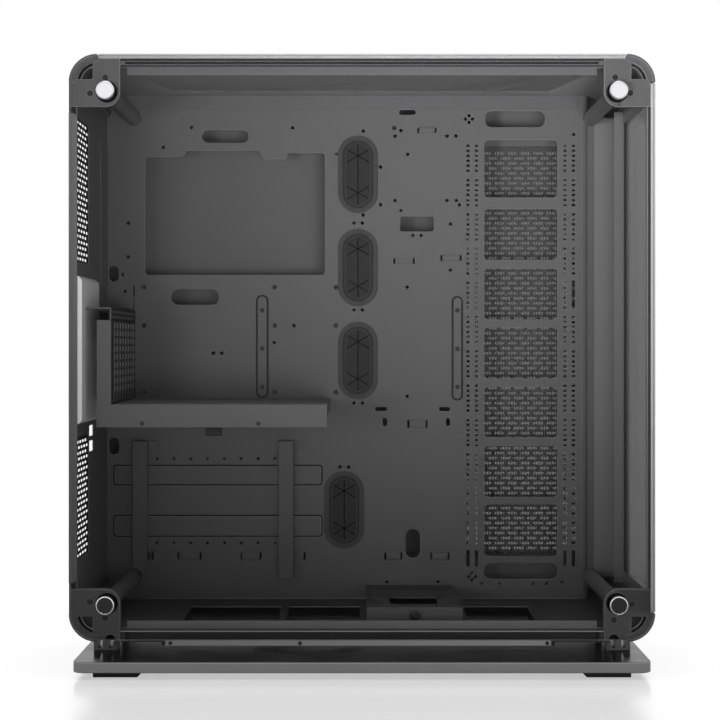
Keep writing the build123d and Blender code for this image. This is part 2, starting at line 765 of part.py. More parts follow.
def passage():
    """Input and output passage beside the tray, as its four edges."""
    y1 = TRAY_Y - PASSAGE_INSET
    z1 = CASE_TOP - PASSAGE_DROP
    return y1 - PASSAGE_WIDTH, y1, z1 - PASSAGE_HEIGHT, z1


def rear_panel():
    """Rear wall with the vents, the passages and the slot opening."""
    y0, y1, z0, z1 = passage()
    openings = vent_grid(FAN_VENT_ROWS, CASE_TOP - FAN_VENT_DROP)
    lower_top = CASE_BOTTOM + LOWER_VENT_RISE + LOWER_VENT_ROWS * VENT_PITCH_Z
    openings += vent_grid(LOWER_VENT_ROWS, lower_top)
    openings.append(rect(y0, y1, z0, z1))
    slot_low = SHELF_TOP + SLOT_RISE
    slot_high = SHELF_TOP + SLOT_BRACKET_HEIGHT - SLOT_RISE
    openings.append(rect(EDGE_Y + SHIELD_DEPTH + CLEAR, y1, slot_low, slot_high))
    for i in range(2):
        z = CASE_BOTTOM + INLET_RISE + i * INLET_PITCH
        y = FACE_Y + INLET_SETBACK
        openings.append(rect(y, y + INLET_DEPTH, z, z + INLET_HEIGHT))
    return end_wall(openings, True)


def passage_cover():
    """Plate over the input and output passage."""
    y0, y1, z0, z1 = passage()
    face = rect(y0 - PASSAGE_LAP, y1 + PASSAGE_LAP, z0 - PASSAGE_LAP, z1 + PASSAGE_LAP)
    return cross_sheet(face, REAR_X, REAR_X + PASSAGE_COVER_T)


def slot_shield():
    """Pale bevelled plate on the wall beside the slots."""
    z0 = CASE_BOTTOM + SHIELD_RISE
    plate = block(REAR_X, REAR_X + SHIELD_T, EDGE_Y, EDGE_Y + SHIELD_DEPTH, z0, z0 + SHIELD_HEIGHT)
    edges = plate.edges().filter_by(Axis.Y).group_by(Axis.X)[-1]
    return chamfer(edges, SHIELD_BEVEL)


def slot_centres():
    """Middle of each expansion slot along Y."""
    middle = (SHELF_Y + TRAY_Y) / 2
    return [middle + (i - (SLOT_COUNT - 1) / 2) * SLOT_PITCH for i in range(SLOT_COUNT)]


def slot_bracket():
    """Recessed wall with a row of upright slots, a side flange and a top flange."""
    top = SHELF_TOP + SLOT_BRACKET_HEIGHT
    face = rect(SHELF_Y, TRAY_Y, SHELF_TOP, top)
    low = SHELF_TOP + SLOT_RISE
    for y in slot_centres():
        face -= rect(y - SLOT_WIDTH / 2, y + SLOT_WIDTH / 2, low, low + SLOT_HEIGHT)
    bracket = cross_sheet(face, SLOT_X, SLOT_X + SHEET)
    side_top = SHELF_TOP + SLOT_FLANGE_HEIGHT
    bracket += block(SLOT_X - SLOT_FLANGE, SLOT_X, SHELF_Y, SHELF_Y + SHEET, SHELF_TOP, side_top)
    return bracket + block(REAR_X + SHIELD_T + CLEAR, SLOT_X, SHELF_Y, TRAY_Y, top - SHEET, top)


def slot_covers():
    """Upright slot covers behind the bracket, each with a vent and a bent tab."""
    covers = []
    top = SHELF_TOP + SLOT_BRACKET_HEIGHT - SHEET
    for y in slot_centres():
        face = rect(y - SLOT_COVER_W / 2, y + SLOT_COVER_W / 2, SHELF_TOP, top)
        face -= Pos(y, SHELF_TOP + SLOT_RISE + SLOT_HEIGHT / 2) * Rectangle(COVER_VENT_W, COVER_VENT_H)
        cover = cross_sheet(face, SLOT_X - SLOT_COVER_T, SLOT_X)
        cover += block(SLOT_X - SLOT_COVER_TAB, SLOT_X, y - SLOT_COVER_W / 2, y + SLOT_COVER_W / 2,
                       top - SLOT_COVER_T, top)
        covers.append(cover)
    return covers


# Shelf and power supply bay

def card_shelf():
    """Shelf under the slots, with a lip at the left side and a turned end."""
    x1 = REAR_X + SHELF_LENGTH
    base = SHELF_TOP - SHEET
    x0 = REAR_X + SHELF_START
    shelf = block(x0, x1, SHELF_Y, TRAY_Y, base, SHELF_TOP)
    shelf += block(x0, x1, SHELF_Y, SHELF_Y + SHEET, SHELF_TOP - SHELF_LIP, base)
    return shelf + block(x1 - SHEET, x1, SHELF_Y, TRAY_Y, SHELF_TOP - SHELF_END, base)


def upright(place):
    """Channel on the tray with a foot at each end, cut clear of the corner post."""
    x0 = REAR_X + place
    x1 = x0 + UPRIGHT_WIDTH
    z0 = CASE_BOTTOM + UPRIGHT_RISE
    z1 = z0 + UPRIGHT_HEIGHT
    y0 = TRAY_Y - UPRIGHT_DEPTH
    piece = block(x0, x1, y0, TRAY_Y, z0, z1)
    piece -= block(x0 + SHEET, x1 - SHEET, y0 + SHEET, TRAY_Y, z0, z1)
    for low in (z0, z1 - UPRIGHT_FOOT):
        piece += block(x1, x1 + UPRIGHT_FOOT, TRAY_Y - SHEET, TRAY_Y, low, low + UPRIGHT_FOOT)
    return piece - rod(disc(POST_R + CLEAR), y0, TRAY_Y, -POST_X, POST_LEVELS[0])


def shelf_latch():
    """Small latch block under the shelf."""
    x0 = REAR_X + LATCH_PLACE
    y0 = FACE_Y + LATCH_SETBACK
    top = SHELF_TOP - SHEET
    body = block(x0, x0 + LATCH_LENGTH, y0, y0 + LATCH_DEPTH, top - LATCH_HEIGHT, top)
    return body - block(x0, x0 + LATCH_LENGTH, y0 + 2 * SHEET, y0 + LATCH_DEPTH, top - LATCH_HEIGHT, top - SHELF_END)


# Tray

def cable_grommet(place, drop):
    """Rubber grommet: a rim on the tray's face and a slit membrane in its opening."""
    x = REAR_X + place
    z = CASE_TOP - drop
    rim = oblong(x, z, GROMMET_WIDTH, GROMMET_HEIGHT)
    hole = oblong(x, z, GROMMET_WIDTH - 2 * GROMMET_RIM, GROMMET_HEIGHT - 2 * GROMMET_RIM)
    ring = facing_sheet(rim - hole, TRAY_Y - GROMMET_RIM_T, TRAY_Y)
    neck = oblong(x, z, GROMMET_WIDTH - 2 * GROMMET_LAP, GROMMET_HEIGHT - 2 * GROMMET_LAP)
    slit = Pos(x, z) * Rectangle(GROMMET_SLIT, GROMMET_SLIT_L)
    return ring + facing_sheet(neck - slit, TRAY_Y, TRAY_Y + SHEET)


def board_holes():
    """Places of the board's four outer fixings below the processor."""
    x0 = REAR_X + BOARD_PLACE
    z0 = CASE_TOP - BOARD_DROP
    return [(x0 + col, z) for z in (z0, z0 - BOARD_DOWN) for col in BOARD_COLS]


def cpu_opening():
    """Large opening behind the processor, with two steps in its top edge."""
    x0 = REAR_X + CPU_PLACE
    z1 = CASE_TOP - CPU_DROP
    opening = cut_corners(x0, x0 + CPU_LENGTH, z1 - CPU_HEIGHT, z1, CPU_CUT)
    for start, end, height in CPU_STEPS:
        opening += rect(REAR_X + start, REAR_X + end, z1 - CPU_CUT, z1 + height)
    return opening


def tray_openings():
    """All the openings of the tray, as sketches."""
    holes = [cpu_opening()]
    holes += [Pos(x, z) * Circle(STANDOFF_HOLE_R) for x, z in board_holes()]
    for place, drop, width, height in PASS_SLOTS:
        holes.append(oblong(REAR_X + place, CASE_TOP - drop, width, height))
    for place, drop, width, height in CABLE_HOLES:
        holes.append(Pos(REAR_X + place, CASE_TOP - drop) * Rectangle(width, height))
    neck = (GROMMET_WIDTH - 2 * GROMMET_LAP, GROMMET_HEIGHT - 2 * GROMMET_LAP)
    for place, drop in GROMMET_PLACES:
        holes.append(oblong(REAR_X + place, CASE_TOP - drop, *neck))
    x0 = RAD_X - RAD_WINDOW_W / 2
    x1 = RAD_X + RAD_WINDOW_W / 2
    spans = [(RAD_WINDOW_RISE + i * RAD_WINDOW_PITCH, RAD_WINDOW_H) for i in range(RAD_WINDOW_COUNT)]
    spans.append((RAD_TOP_WINDOW_RISE, RAD_TOP_WINDOW_H))
    for rise, height in spans:
        holes.append(cut_corners(x0, x1, CASE_BOTTOM + rise, CASE_BOTTOM + rise + height, RAD_CUT))
    for rise in END_SLOT_RISES:
        holes.append(rect(x0, x1, CASE_BOTTOM + rise, CASE_BOTTOM + rise + END_SLOT_H))
    for spacing in FAN_SPACINGS:
        for side in (-1, 1):
            x = RAD_X + side * spacing / 2
            for i in range(RAD_SLOT_COUNT):
                z = CASE_BOTTOM + RAD_SLOT_RISE + i * RAD_SLOT_PITCH
                holes.append(rect(x - RAD_SLOT_W / 2, x + RAD_SLOT_W / 2, z, z + RAD_SLOT_H))
    return holes


def motherboard_tray():
    """Main sheet of the case, with its right edge turned back."""
    inside = INNER_HALF - SHEET - CLEAR
    low = MID_Z - (TURN_Z - MID_Z) + CLEAR
    outline = rounded(-inside, inside, FLOOR_Z, CEILING_Z, INNER_R - SHEET) & rect(
        -inside, TRAY_END_X, FLOOR_Z, CEILING_Z)
    outline += rect(REAR_X, -inside + CORNER_R, low, TURN_Z - CLEAR)
    tray = facing_sheet(outline - tray_openings(), TRAY_Y, TRAY_Y + SHEET)
    tray += block(TRAY_END_X - SHEET, TRAY_END_X, TRAY_Y + SHEET, TRAY_Y + TRAY_RETURN, FLOOR_Z, CEILING_Z)
    for drop, height in POCKETS:
        x0 = REAR_X + POCKET_PLACE
        z = CASE_TOP - drop
        pocket = rect(x0, x0 + POCKET_LENGTH, z - height / 2, z + height / 2)
        tray -= facing_sheet(pocket, TRAY_Y, TRAY_Y + POCKET_DEPTH)
    return tray


def cable_rail(place):
    """Upright strip on the tray for cable ties."""
    x = REAR_X + place
    z = CASE_BOTTOM + RAIL_STRIP_RISE
    half = RAIL_STRIP_W / 2
    return block(x - half, x + half, TRAY_Y - RAIL_STRIP_T, TRAY_Y, z, z + RAIL_STRIP_H)


# Drive bracket

def drive_bracket():
    """Folded plate on the floor with a slot and two rows of holes."""
    x0 = REAR_X + DRIVE_PLACE
    x1 = x0 + DRIVE_WIDTH
    y0 = FACE_Y + DRIVE_SETBACK
    top = FLOOR_Z + DRIVE_HEIGHT
    plate = rect(x0, x1, y0, TRAY_Y)
    slot_y = FACE_Y + DRIVE_SLOT_SETBACK
    plate -= Pos((x0 + x1) / 2, slot_y) * Rectangle(DRIVE_SLOT_L, DRIVE_SLOT_D)
    for x in (x0 + DRIVE_HOLE_INSET, x1 - DRIVE_HOLE_INSET):
        for i in range(DRIVE_HOLE_COUNT):
            y = y0 + DRIVE_HOLE_PITCH * (i + 0.5)
            plate -= Pos(x, y) * Rectangle(DRIVE_HOLE, DRIVE_HOLE)
    bracket = flat_sheet(plate, top - SHEET, top)
    bracket += block(x0, x1, y0, y0 + SHEET, FLOOR_Z, top)
    bracket += block(x0, x0 + SHEET, y0, TRAY_Y, FLOOR_Z, top)
    return bracket + block(x1 - SHEET, x1, y0, TRAY_Y, FLOOR_Z, top)


def drive_thumb_screw():
    """Thumb screw on the bracket's left face."""
    x = REAR_X + DRIVE_PLACE + DRIVE_WIDTH / 2
    y = FACE_Y + DRIVE_SETBACK
    return rod(disc(THUMB_R), y - THUMB_T, y, x, FLOOR_Z + DRIVE_HEIGHT / 2)


# Right side

def right_cover():
    """Flat cover with staggered slots over the radiator windows."""
    x = HALF - GLASS_INSET
    z = HALF_Z - GLASS_INSET
    face = rounded(-x, x, MID_Z - z, MID_Z + z, CORNER_R - GLASS_INSET)
    holes = []
    for row in range(COVER_ROWS):
        shift = COVER_PITCH_X / 2 if row % 2 else 0
        hole_z = MID_Z + (row - (COVER_ROWS - 1) / 2) * COVER_PITCH_Z
        for col in range(COVER_COLS):
            hole_x = RAD_X - COVER_PITCH_X / 4 + (col - (COVER_COLS - 1) / 2) * COVER_PITCH_X + shift
            holes.append(Pos(hole_x, hole_z) * Rectangle(COVER_SLOT_L, COVER_SLOT_H))
    return facing_sheet(face - holes, END_Y, BACK_Y)


# Files, one for each named piece

save("base_plate", base_plate())
save("base_feet", *base_feet())
save("stand_clamps", *stand_clamps())
save("bottom_panel", bottom_panel())
save("dust_filter", dust_filter())
save("filter_guides", *filter_guides())
save("floor_panel", floor_panel())
save("bottom_side_rail", side_rail(CASE_BOTTOM, CASE_BOTTOM + INNER_GAP))
save("top_panel", top_panel())
save("top_side_rail", side_rail(CASE_TOP - INNER_GAP, CASE_TOP - WALL_GAP))
save("top_glass", top_glass())
save("top_seal", top_seal())
save("top_strip", top_strip())

bar = corner_bar()
save("corner_bars", bar, mirror_x(bar), mirror_up(bar), mirror_up(mirror_x(bar)))
save("corner_brackets",
     corner_bracket(GLASS_T, GLASS_T, False),
     mirror_x(corner_bracket(BRACKET_EDGE_GAP, GLASS_T, False)),
     mirror_up(corner_bracket(GLASS_T, BRACKET_EDGE_GAP, True)),
     mirror_up(mirror_x(corner_bracket(BRACKET_EDGE_GAP, BRACKET_EDGE_GAP, True))))
corners = [(x, z) for x in (-POST_X, POST_X) for z in POST_LEVELS]
save("corner_posts", *[corner_post(x, z) for x, z in corners])
save("glass_screws", *[glass_screw(x, z) for x, z in corners])
save("left_glass", left_glass())

save("front_wall", front_wall())
save("front_glass", front_glass())
save("front_seal", front_seal())
save("front_channel", front_channel())
save("front_strip", front_strip())
save("power_button", push_button(Circle(BUTTON_R), BUTTON_R, 0))
save("reset_button", push_button(disc(RESET_R, SMALL_SIDES), RESET_R, 1))
save("button_switches", *button_switches())
save("port_board", port_board())
save("usb_a_ports", port_shell(USB_W, USB_H, 2), port_shell(USB_W, USB_H, 3))
save("usb_c_port", port_shell(USB_C_W, USB_C_H, 4) + port_seat(4, USB_C_W))
save("audio_jack", audio_jack())

save("rear_panel", rear_panel())
save("passage_cover", passage_cover())
save("slot_shield", slot_shield())
save("slot_bracket", slot_bracket())
save("slot_covers", *slot_covers())
save("card_shelf", card_shelf())
save("bay_uprights", *[upright(place) for place in UPRIGHT_PLACES])
save("shelf_latch", shelf_latch())

save("motherboard_tray", motherboard_tray())
save("cable_grommets", *[cable_grommet(place, drop) for place, drop in GROMMET_PLACES])
save("cable_rails", *[cable_rail(place) for place in RAIL_STRIP_PLACES])
save("drive_bracket", drive_bracket())
save("drive_thumb_screw", drive_thumb_screw())
save("right_cover", right_cover())
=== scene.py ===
import math

import bmesh
import bpy
from mathutils import Matrix, Vector


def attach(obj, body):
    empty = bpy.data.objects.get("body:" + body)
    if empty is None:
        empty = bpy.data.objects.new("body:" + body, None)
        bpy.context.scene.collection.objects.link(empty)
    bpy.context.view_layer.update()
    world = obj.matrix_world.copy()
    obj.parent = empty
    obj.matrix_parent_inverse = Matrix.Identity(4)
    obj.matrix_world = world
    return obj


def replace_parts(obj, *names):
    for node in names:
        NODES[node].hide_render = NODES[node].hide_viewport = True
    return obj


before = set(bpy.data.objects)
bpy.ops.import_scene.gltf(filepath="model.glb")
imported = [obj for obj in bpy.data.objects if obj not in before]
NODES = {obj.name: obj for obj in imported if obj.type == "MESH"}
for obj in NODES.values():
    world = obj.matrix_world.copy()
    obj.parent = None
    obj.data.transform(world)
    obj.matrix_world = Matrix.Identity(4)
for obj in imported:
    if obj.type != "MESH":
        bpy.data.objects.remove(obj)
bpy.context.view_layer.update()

# Lengths below are in millimetres, in the case's own frame, and MM turns them into metres.
MM = 0.001

# Planes and sizes of the case
FACE_Y = -117.0
EDGE_Y = -115.5
TRAY_Y = 83.0
TRAY_T = 1.5
COVER_Y = 126.0
BACK_Y = 127.0
HALF = 310.5
TOP = 660.0
MID_Z = 348.75
REAR_X = -301.5
PANEL_T = 1.5
POST_X = 270.0
POST_Z = (78.0, 619.5)
POST_R = 11.6
FLOOR_Z = 51.0
CEILING_Z = 646.5
SLOT_X = -270.0
GLASS_T = 5.0

# Camera: the photo's distance, height and angle
CAMERA_Y = -1797.0
CAMERA_Z = 353.9
FOCAL_PX = 1588.0
IMAGE_PX = 720.0
CENTRE_PX = (362.0, 343.0)

# Turns from a drawing's own plane: facing the left side, across the case, and level
FACING = Matrix(((1, 0, 0, 0), (0, 0, -1, 0), (0, 1, 0, 0), (0, 0, 0, 1)))
CROSS = Matrix(((0, 0, 1, 0), (1, 0, 0, 0), (0, 1, 0, 0), (0, 0, 0, 1)))
LEVEL = Matrix.Identity(4)

# Edges over this angle, in degrees, are drawn sharp. Rounded copies keep their flat faces flat.
SHARP_ANGLE = 35.0
ROUNDED_SHARP_ANGLE = 20.0

# A face looks along an axis where its normal's share there is over ALONG, and is part of a rounded edge
# where it lies between the two values of ROUNDED
ALONG = 0.9
ROUNDED = (0.2, 0.97)


# Materials

GRAIN_DEPTH = 0.0001
ROUGH_DRIFT = 0.06
NET_OPENNESS = (0.66, 0.82)


def new_material(name):
    """An empty material with its nodes, links and main shader."""
    material = bpy.data.materials.new(name)
    material.use_nodes = True
    nodes = material.node_tree.nodes
    return material, nodes, material.node_tree.links, nodes["Principled BSDF"]


def noise(nodes, links, scale, detail=3.0):
    """Noise in the case's own coordinates."""
    place = nodes.new("ShaderNodeTexCoord")
    texture = nodes.new("ShaderNodeTexNoise")
    texture.inputs["Scale"].default_value = scale
    texture.inputs["Detail"].default_value = detail
    links.new(place.outputs["Object"], texture.inputs["Vector"])
    return texture


def spread(nodes, links, source, low, high):
    """Noise mapped to a range."""
    ramp = nodes.new("ShaderNodeMapRange")
    ramp.inputs["From Min"].default_value = 0.3
    ramp.inputs["From Max"].default_value = 0.7
    ramp.inputs["To Min"].default_value = low
    ramp.inputs["To Max"].default_value = high
    links.new(source, ramp.inputs["Value"])
    return ramp.outputs["Result"]


def tint(nodes, links, source, color, amount):
    """Colour that drifts a little with the noise."""
    mix = nodes.new("ShaderNodeMix")
    mix.data_type = "RGBA"
    mix.inputs["A"].default_value = [c * (1 - amount) for c in color] + [1.0]
    mix.inputs["B"].default_value = [min(1.0, c * (1 + amount)) for c in color] + [1.0]
    links.new(source, mix.inputs["Factor"])
    return mix.outputs["Result"]


def coat(name, color, rough, grain=1500.0, bump=0.12, drift=0.10, metallic=0.0, shine=0.3):
    """Painted or powder-coated surface with a fine grain."""
    material, nodes, links, shader = new_material(name)
    cloud = noise(nodes, links, 9.0, 4.0)
    fine = noise(nodes, links, grain, 2.0)
    links.new(tint(nodes, links, cloud.outputs["Fac"], color, drift), shader.inputs["Base Color"])
    polish = spread(nodes, links, fine.outputs["Fac"], rough - ROUGH_DRIFT, rough + ROUGH_DRIFT)
    links.new(polish, shader.inputs["Roughness"])
    relief = nodes.new("ShaderNodeBump")
    relief.inputs["Strength"].default_value = bump
    relief.inputs["Distance"].default_value = GRAIN_DEPTH
    links.new(fine.outputs["Fac"], relief.inputs["Height"])
    links.new(relief.outputs["Normal"], shader.inputs["Normal"])
    shader.inputs["Metallic"].default_value = metallic
    shader.inputs["Specular IOR Level"].default_value = shine
    return material


def turned_metal(name, color, rough, rings=900.0):
    """Bright metal with fine turning marks."""
    material, nodes, links, shader = new_material(name)
    cloud = noise(nodes, links, rings, 2.0)
    links.new(tint(nodes, links, cloud.outputs["Fac"], color, 0.05), shader.inputs["Base Color"])
    polish = spread(nodes, links, cloud.outputs["Fac"], rough * 0.8, rough * 1.25)
    links.new(polish, shader.inputs["Roughness"])
    shader.inputs["Metallic"].default_value = 1.0
    return material


def clear(name, color, alpha, rough):
    """Glass with a faint drift in its polish."""
    material, nodes, links, shader = new_material(name)
    cloud = noise(nodes, links, 14.0, 2.0)
    links.new(tint(nodes, links, cloud.outputs["Fac"], color, 0.04), shader.inputs["Base Color"])
    polish = spread(nodes, links, cloud.outputs["Fac"], rough * 0.7, rough * 1.4)
    links.new(polish, shader.inputs["Roughness"])
    shader.inputs["Alpha"].default_value = alpha
    shader.inputs["IOR"].default_value = 1.5
    return material


def net(name, color, strand):
    """Fine net whose openness goes up and down every strand millimetres."""
    material, nodes, links, shader = new_material(name)
    place = nodes.new("ShaderNodeTexCoord")
    wave = nodes.new("ShaderNodeTexWave")
    wave.inputs["Scale"].default_value = 2 * math.pi / (20 * strand * MM)
    links.new(place.outputs["Object"], wave.inputs["Vector"])
    cloud = noise(nodes, links, 40.0, 2.0)
    links.new(tint(nodes, links, cloud.outputs["Fac"], color, 0.1), shader.inputs["Base Color"])
    links.new(spread(nodes, links, wave.outputs["Fac"], *NET_OPENNESS), shader.inputs["Alpha"])
    shader.inputs["Roughness"].default_value = 0.6
    return material


FINE_NET = net("fine_net", (0.09, 0.09, 0.091), 3.3)
CHASSIS = coat("chassis_coat", (0.125, 0.125, 0.128), 0.55)
# Darker copy of the chassis paint, painted shade: on the bottom panel, and on the floor panel's and drive
# bracket's top faces
SHADED_CHASSIS = coat("shaded_coat", (0.045, 0.045, 0.047), 0.5, shine=0.2)
TRAY_COAT = coat("tray_coat", (0.13, 0.13, 0.132), 0.5, drift=0.06)
# Near-black copy of the chassis paint, painted shade: on the slot covers, the rear vents, the rear flange,
# the pierced strip and its bar, and the slot bracket's faces towards the front
DEEP_SHADE = coat("deep_shade", (0.02, 0.02, 0.0205), 0.6, shine=0.1)
# Darker copy of the frame paint, painted shade on the bottom side rail's face
RAIL_SHADE = coat("rail_shade", (0.03, 0.03, 0.031), 0.45)
# Lighter coat on rounded edges, a painted highlight
EDGE_HIGHLIGHT = coat("edge_highlight", (0.26, 0.26, 0.263), 0.35, shine=0.5)
HEM_COAT = coat("hem_coat", (0.16, 0.16, 0.163), 0.42)
FRAME_COAT = coat("frame_coat", (0.10, 0.10, 0.102), 0.42)
BASE_COAT = coat("base_gloss", (0.30, 0.30, 0.303), 0.2, grain=500.0, bump=0.03, metallic=0.85)
# Dark copy of the base's paint on its top faces: painted shade under the case, and a painted dark reflection
# of the case above
BASE_TOP_SHADE = coat("base_top_shade", (0.025, 0.025, 0.026), 0.2, grain=30.0, bump=0.01, shine=0.14)
# Lighter copy of the frame paint for the stand clamps, a painted highlight
CLAMP_LIT = coat("clamp_lit", (0.20, 0.20, 0.202), 0.35, shine=0.5)
# Lighter copy of the chassis paint on the top panel's underside, painted light where the ceiling catches
# light from below
CEILING_LIT = coat("ceiling_lit", (0.24, 0.24, 0.243), 0.5)
# Lighter copy of the chassis paint on the front wall and channel, painted light on the case's front side
FRONT_WALL_LIT = coat("front_wall_lit", (0.19, 0.19, 0.193), 0.5)
SHIELD_COAT = coat("shield_coat", (0.92, 0.92, 0.923), 0.4, drift=0.03, shine=0.5)
BLACK_PLASTIC = coat("black_plastic", (0.02, 0.02, 0.021), 0.45, grain=2500.0)
RUBBER = coat("rubber", (0.035, 0.035, 0.036), 0.7, grain=1800.0, bump=0.2)
FOOT_RUBBER = coat("foot_rubber", (0.06, 0.06, 0.061), 0.8, grain=900.0, bump=0.3)
BUTTON_PLASTIC = coat("button_plastic", (0.05, 0.05, 0.052), 0.3)
BOARD_GREEN = coat("board_green", (0.02, 0.07, 0.035), 0.5, grain=600.0)
POST_STEEL = coat("post_steel", (0.16, 0.16, 0.165), 0.32, grain=700.0, bump=0.05)
SCREW_STEEL = turned_metal("screw_steel", (0.86, 0.86, 0.87), 0.18)
# Dark copy of the screw steel for the lower screws' faces, painted shade
SHADED_STEEL = turned_metal("shaded_steel", (0.04, 0.04, 0.041), 0.25)
PORT_METAL = turned_metal("port_metal", (0.5, 0.5, 0.52), 0.3, 1500.0)
SMALL_SCREW = coat("small_screw", (0.05, 0.05, 0.052), 0.3, metallic=0.6)
GLASS = clear("glass", (0.01, 0.011, 0.011), 0.05, 0.03)
TINTED_GLASS = clear("tinted_glass", (0.25, 0.252, 0.254), 0.74, 0.05)
# Lighter copy of the chassis paint, painted light: on the tray's foot, the slot covers' lips, the back of the
# pierced strip and the floor panel's front faces
LIT_COAT = coat("lit_coat", (0.22, 0.22, 0.223), 0.5)
GLASS_EDGE = clear("glass_edge", (0.48, 0.488, 0.488), 0.9, 0.12)
EDGE_FAINT = clear("glass_edge_faint", (0.42, 0.45, 0.45), 0.7, 0.12)
RUBBER_RIM = coat("rubber_rim", (0.06, 0.06, 0.061), 0.5, grain=1800.0, bump=0.15)
# Near-black coat, painted shade in gaps: the grommets' slits, the grooves round the tray's panels and the
# sleeves in the brackets' holes
GAP_SHADE = coat("gap_shade", (0.006, 0.006, 0.006), 0.8, grain=1800.0, shine=0.05)
FILTER_PLASTIC = coat("filter_plastic", (0.12, 0.12, 0.122), 0.4, grain=1500.0)
# Light grey coat, a painted highlight: on the dust filter's front faces, its front lip and the bottom rail's
# edge
FRONT_HIGHLIGHT = coat("front_highlight", (0.42, 0.42, 0.425), 0.35, grain=1500.0)


# Shapes in a plane

def circle(x, y, radius, sides):
    """Points of a circle."""
    return [(x + radius * math.cos(2 * math.pi * i / sides), y + radius * math.sin(2 * math.pi * i / sides))
            for i in range(sides)]


def arc(x, y, radius, start, turn, steps):
    """Points along an arc, which starts at one angle and turns by another, in degrees."""
    angles = [math.radians(start + turn * step / steps) for step in range(steps + 1)]
    return [(x + radius * math.cos(angle), y + radius * math.sin(angle)) for angle in angles]


def frame_box(x0, x1, y0, y1):
    """Corner points of a rectangle."""
    return [(x0, y0), (x1, y0), (x1, y1), (x0, y1)]


def round_box(x0, x1, y0, y1, radius, steps=5):
    """Corner points of a rectangle with rounded corners."""
    points = []
    for cx, cy, start in ((x1 - radius, y0 + radius, -90), (x1 - radius, y1 - radius, 0),
                          (x0 + radius, y1 - radius, 90), (x0 + radius, y0 + radius, 180)):
        points += arc(cx, cy, radius, start, 90, steps)
    return points


def oblong(x, y, width, height, steps=8):
    """Points of a slot with round ends."""
    radius = min(width, height) / 2
    return round_box(x - width / 2, x + width / 2, y - height / 2, y + height / 2, radius * 0.999, steps)


# Pieces

def keep(name, mesh, material, body="case", sharp=SHARP_ANGLE):
    """A finished piece of the scene, on its body."""
    piece = bpy.data.objects.new(name, mesh)
    bpy.context.scene.collection.objects.link(piece)
    mesh.materials.clear()
    mesh.materials.append(material)
    mesh.shade_smooth()
    mesh.set_sharp_from_angle(angle=math.radians(sharp))
    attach(piece, body)
    return piece


def sheet(name, outlines, plane, low, high, material, edge=0.0, body="case"):
    """Flat sheet with holes. The first outline is its rim, in the plane's own two coordinates."""
    curve = bpy.data.curves.new(name + "_outline", "CURVE")
    curve.dimensions = "2D"
    curve.fill_mode = "BOTH"
    for points in outlines:
        spline = curve.splines.new("POLY")
        spline.points.add(len(points) - 1)
        for target, (x, y) in zip(spline.points, points):
            target.co = (x * MM, y * MM, 0, 1)
        spline.use_cyclic_u = True
    curve.extrude = (high - low) / 2 * MM - edge * MM
    curve.bevel_depth = edge * MM
    curve.bevel_resolution = 1
    curve.offset = -edge * MM
    source = bpy.data.objects.new(name + "_outline", curve)
    bpy.context.scene.collection.objects.link(source)
    mesh = bpy.data.meshes.new_from_object(source.evaluated_get(bpy.context.evaluated_depsgraph_get()))
    bpy.data.objects.remove(source)
    bpy.data.curves.remove(curve)
    middle = (low + high) / 2 * MM
    shift = {"facing": (0, middle, 0), "cross": (middle, 0, 0), "level": (0, 0, middle)}[plane]
    turn = {"facing": FACING, "cross": CROSS, "level": LEVEL}[plane]
    mesh.transform(Matrix.Translation(shift) @ turn)
    mesh.name = name
    return keep(name, mesh, material, body)


def paint_faces(piece, material, wanted):
    """Another finish on the faces whose normals are wanted."""
    piece.data.materials.append(material)
    for face in piece.data.polygons:
        if wanted(face.normal):
            face.material_index = len(piece.data.materials) - 1


def highlight_edges(piece, material):
    """Painted highlight on the rounded edges of a sheet that faces the left side: a lighter coat standing for
    light that the edges catch.
    """
    paint_faces(piece, material, lambda normal: ROUNDED[0] < abs(normal[1]) < ROUNDED[1])


def light_and_shade_by_facing(piece, axis, sign, material):
    """Another coat on the faces that look one way, painted light where it is lighter and painted shade where
    it is darker.
    """
    paint_faces(piece, material, lambda normal: normal[axis] * sign > ALONG)


def add_box(builder, x0, x1, y0, y1, z0, z1):
    """Adds a box to a mesh under construction."""
    place = Matrix.Translation(((x0 + x1) / 2 * MM, (y0 + y1) / 2 * MM, (z0 + z1) / 2 * MM))
    size = Matrix.Diagonal(((x1 - x0) * MM, (y1 - y0) * MM, (z1 - z0) * MM, 1))
    return bmesh.ops.create_cube(builder, size=1.0, matrix=place @ size)["verts"]


def turned(builder, profile, x, z, sides=48):
    """Adds a round shape about a line along Y. The profile is a list of places and radii."""
    rings = []
    for y, radius in profile:
        if radius <= 0:
            rings.append([builder.verts.new((x * MM, y * MM, z * MM))])
            continue
        ring = []
        for i in range(sides):
            angle = 2 * math.pi * i / sides
            ring.append(builder.verts.new(((x + radius * math.cos(angle)) * MM, y * MM,
                                           (z + radius * math.sin(angle)) * MM)))
        rings.append(ring)
    for first, second in zip(rings, rings[1:]):
        for i in range(sides):
            j = (i + 1) % sides
            corners = []
            for vertex in (first[i % len(first)], first[j % len(first)], second[j % len(second)],
                           second[i % len(second)]):
                if vertex not in corners:
                    corners.append(vertex)
            if len(corners) > 2:
                builder.faces.new(corners)


def finish_mesh(name, builder, material, body="case", bevel=0.0):
    """Turns a mesh under construction into a piece, with its edges rounded when a bevel is given."""
    bmesh.ops.remove_doubles(builder, verts=builder.verts, dist=1e-7)
    bmesh.ops.recalc_face_normals(builder, faces=builder.faces)
    if bevel:
        sharp = [edge for edge in builder.edges
                 if len(edge.link_faces) == 2 and edge.calc_face_angle(0) > math.radians(SHARP_ANGLE)]
        bmesh.ops.bevel(builder, geom=sharp, offset=bevel * MM, segments=2, profile=0.5, affect="EDGES",
                        clamp_overlap=True)
    mesh = bpy.data.meshes.new(name)
    builder.to_mesh(mesh)
    builder.free()
    return keep(name, mesh, material, body)


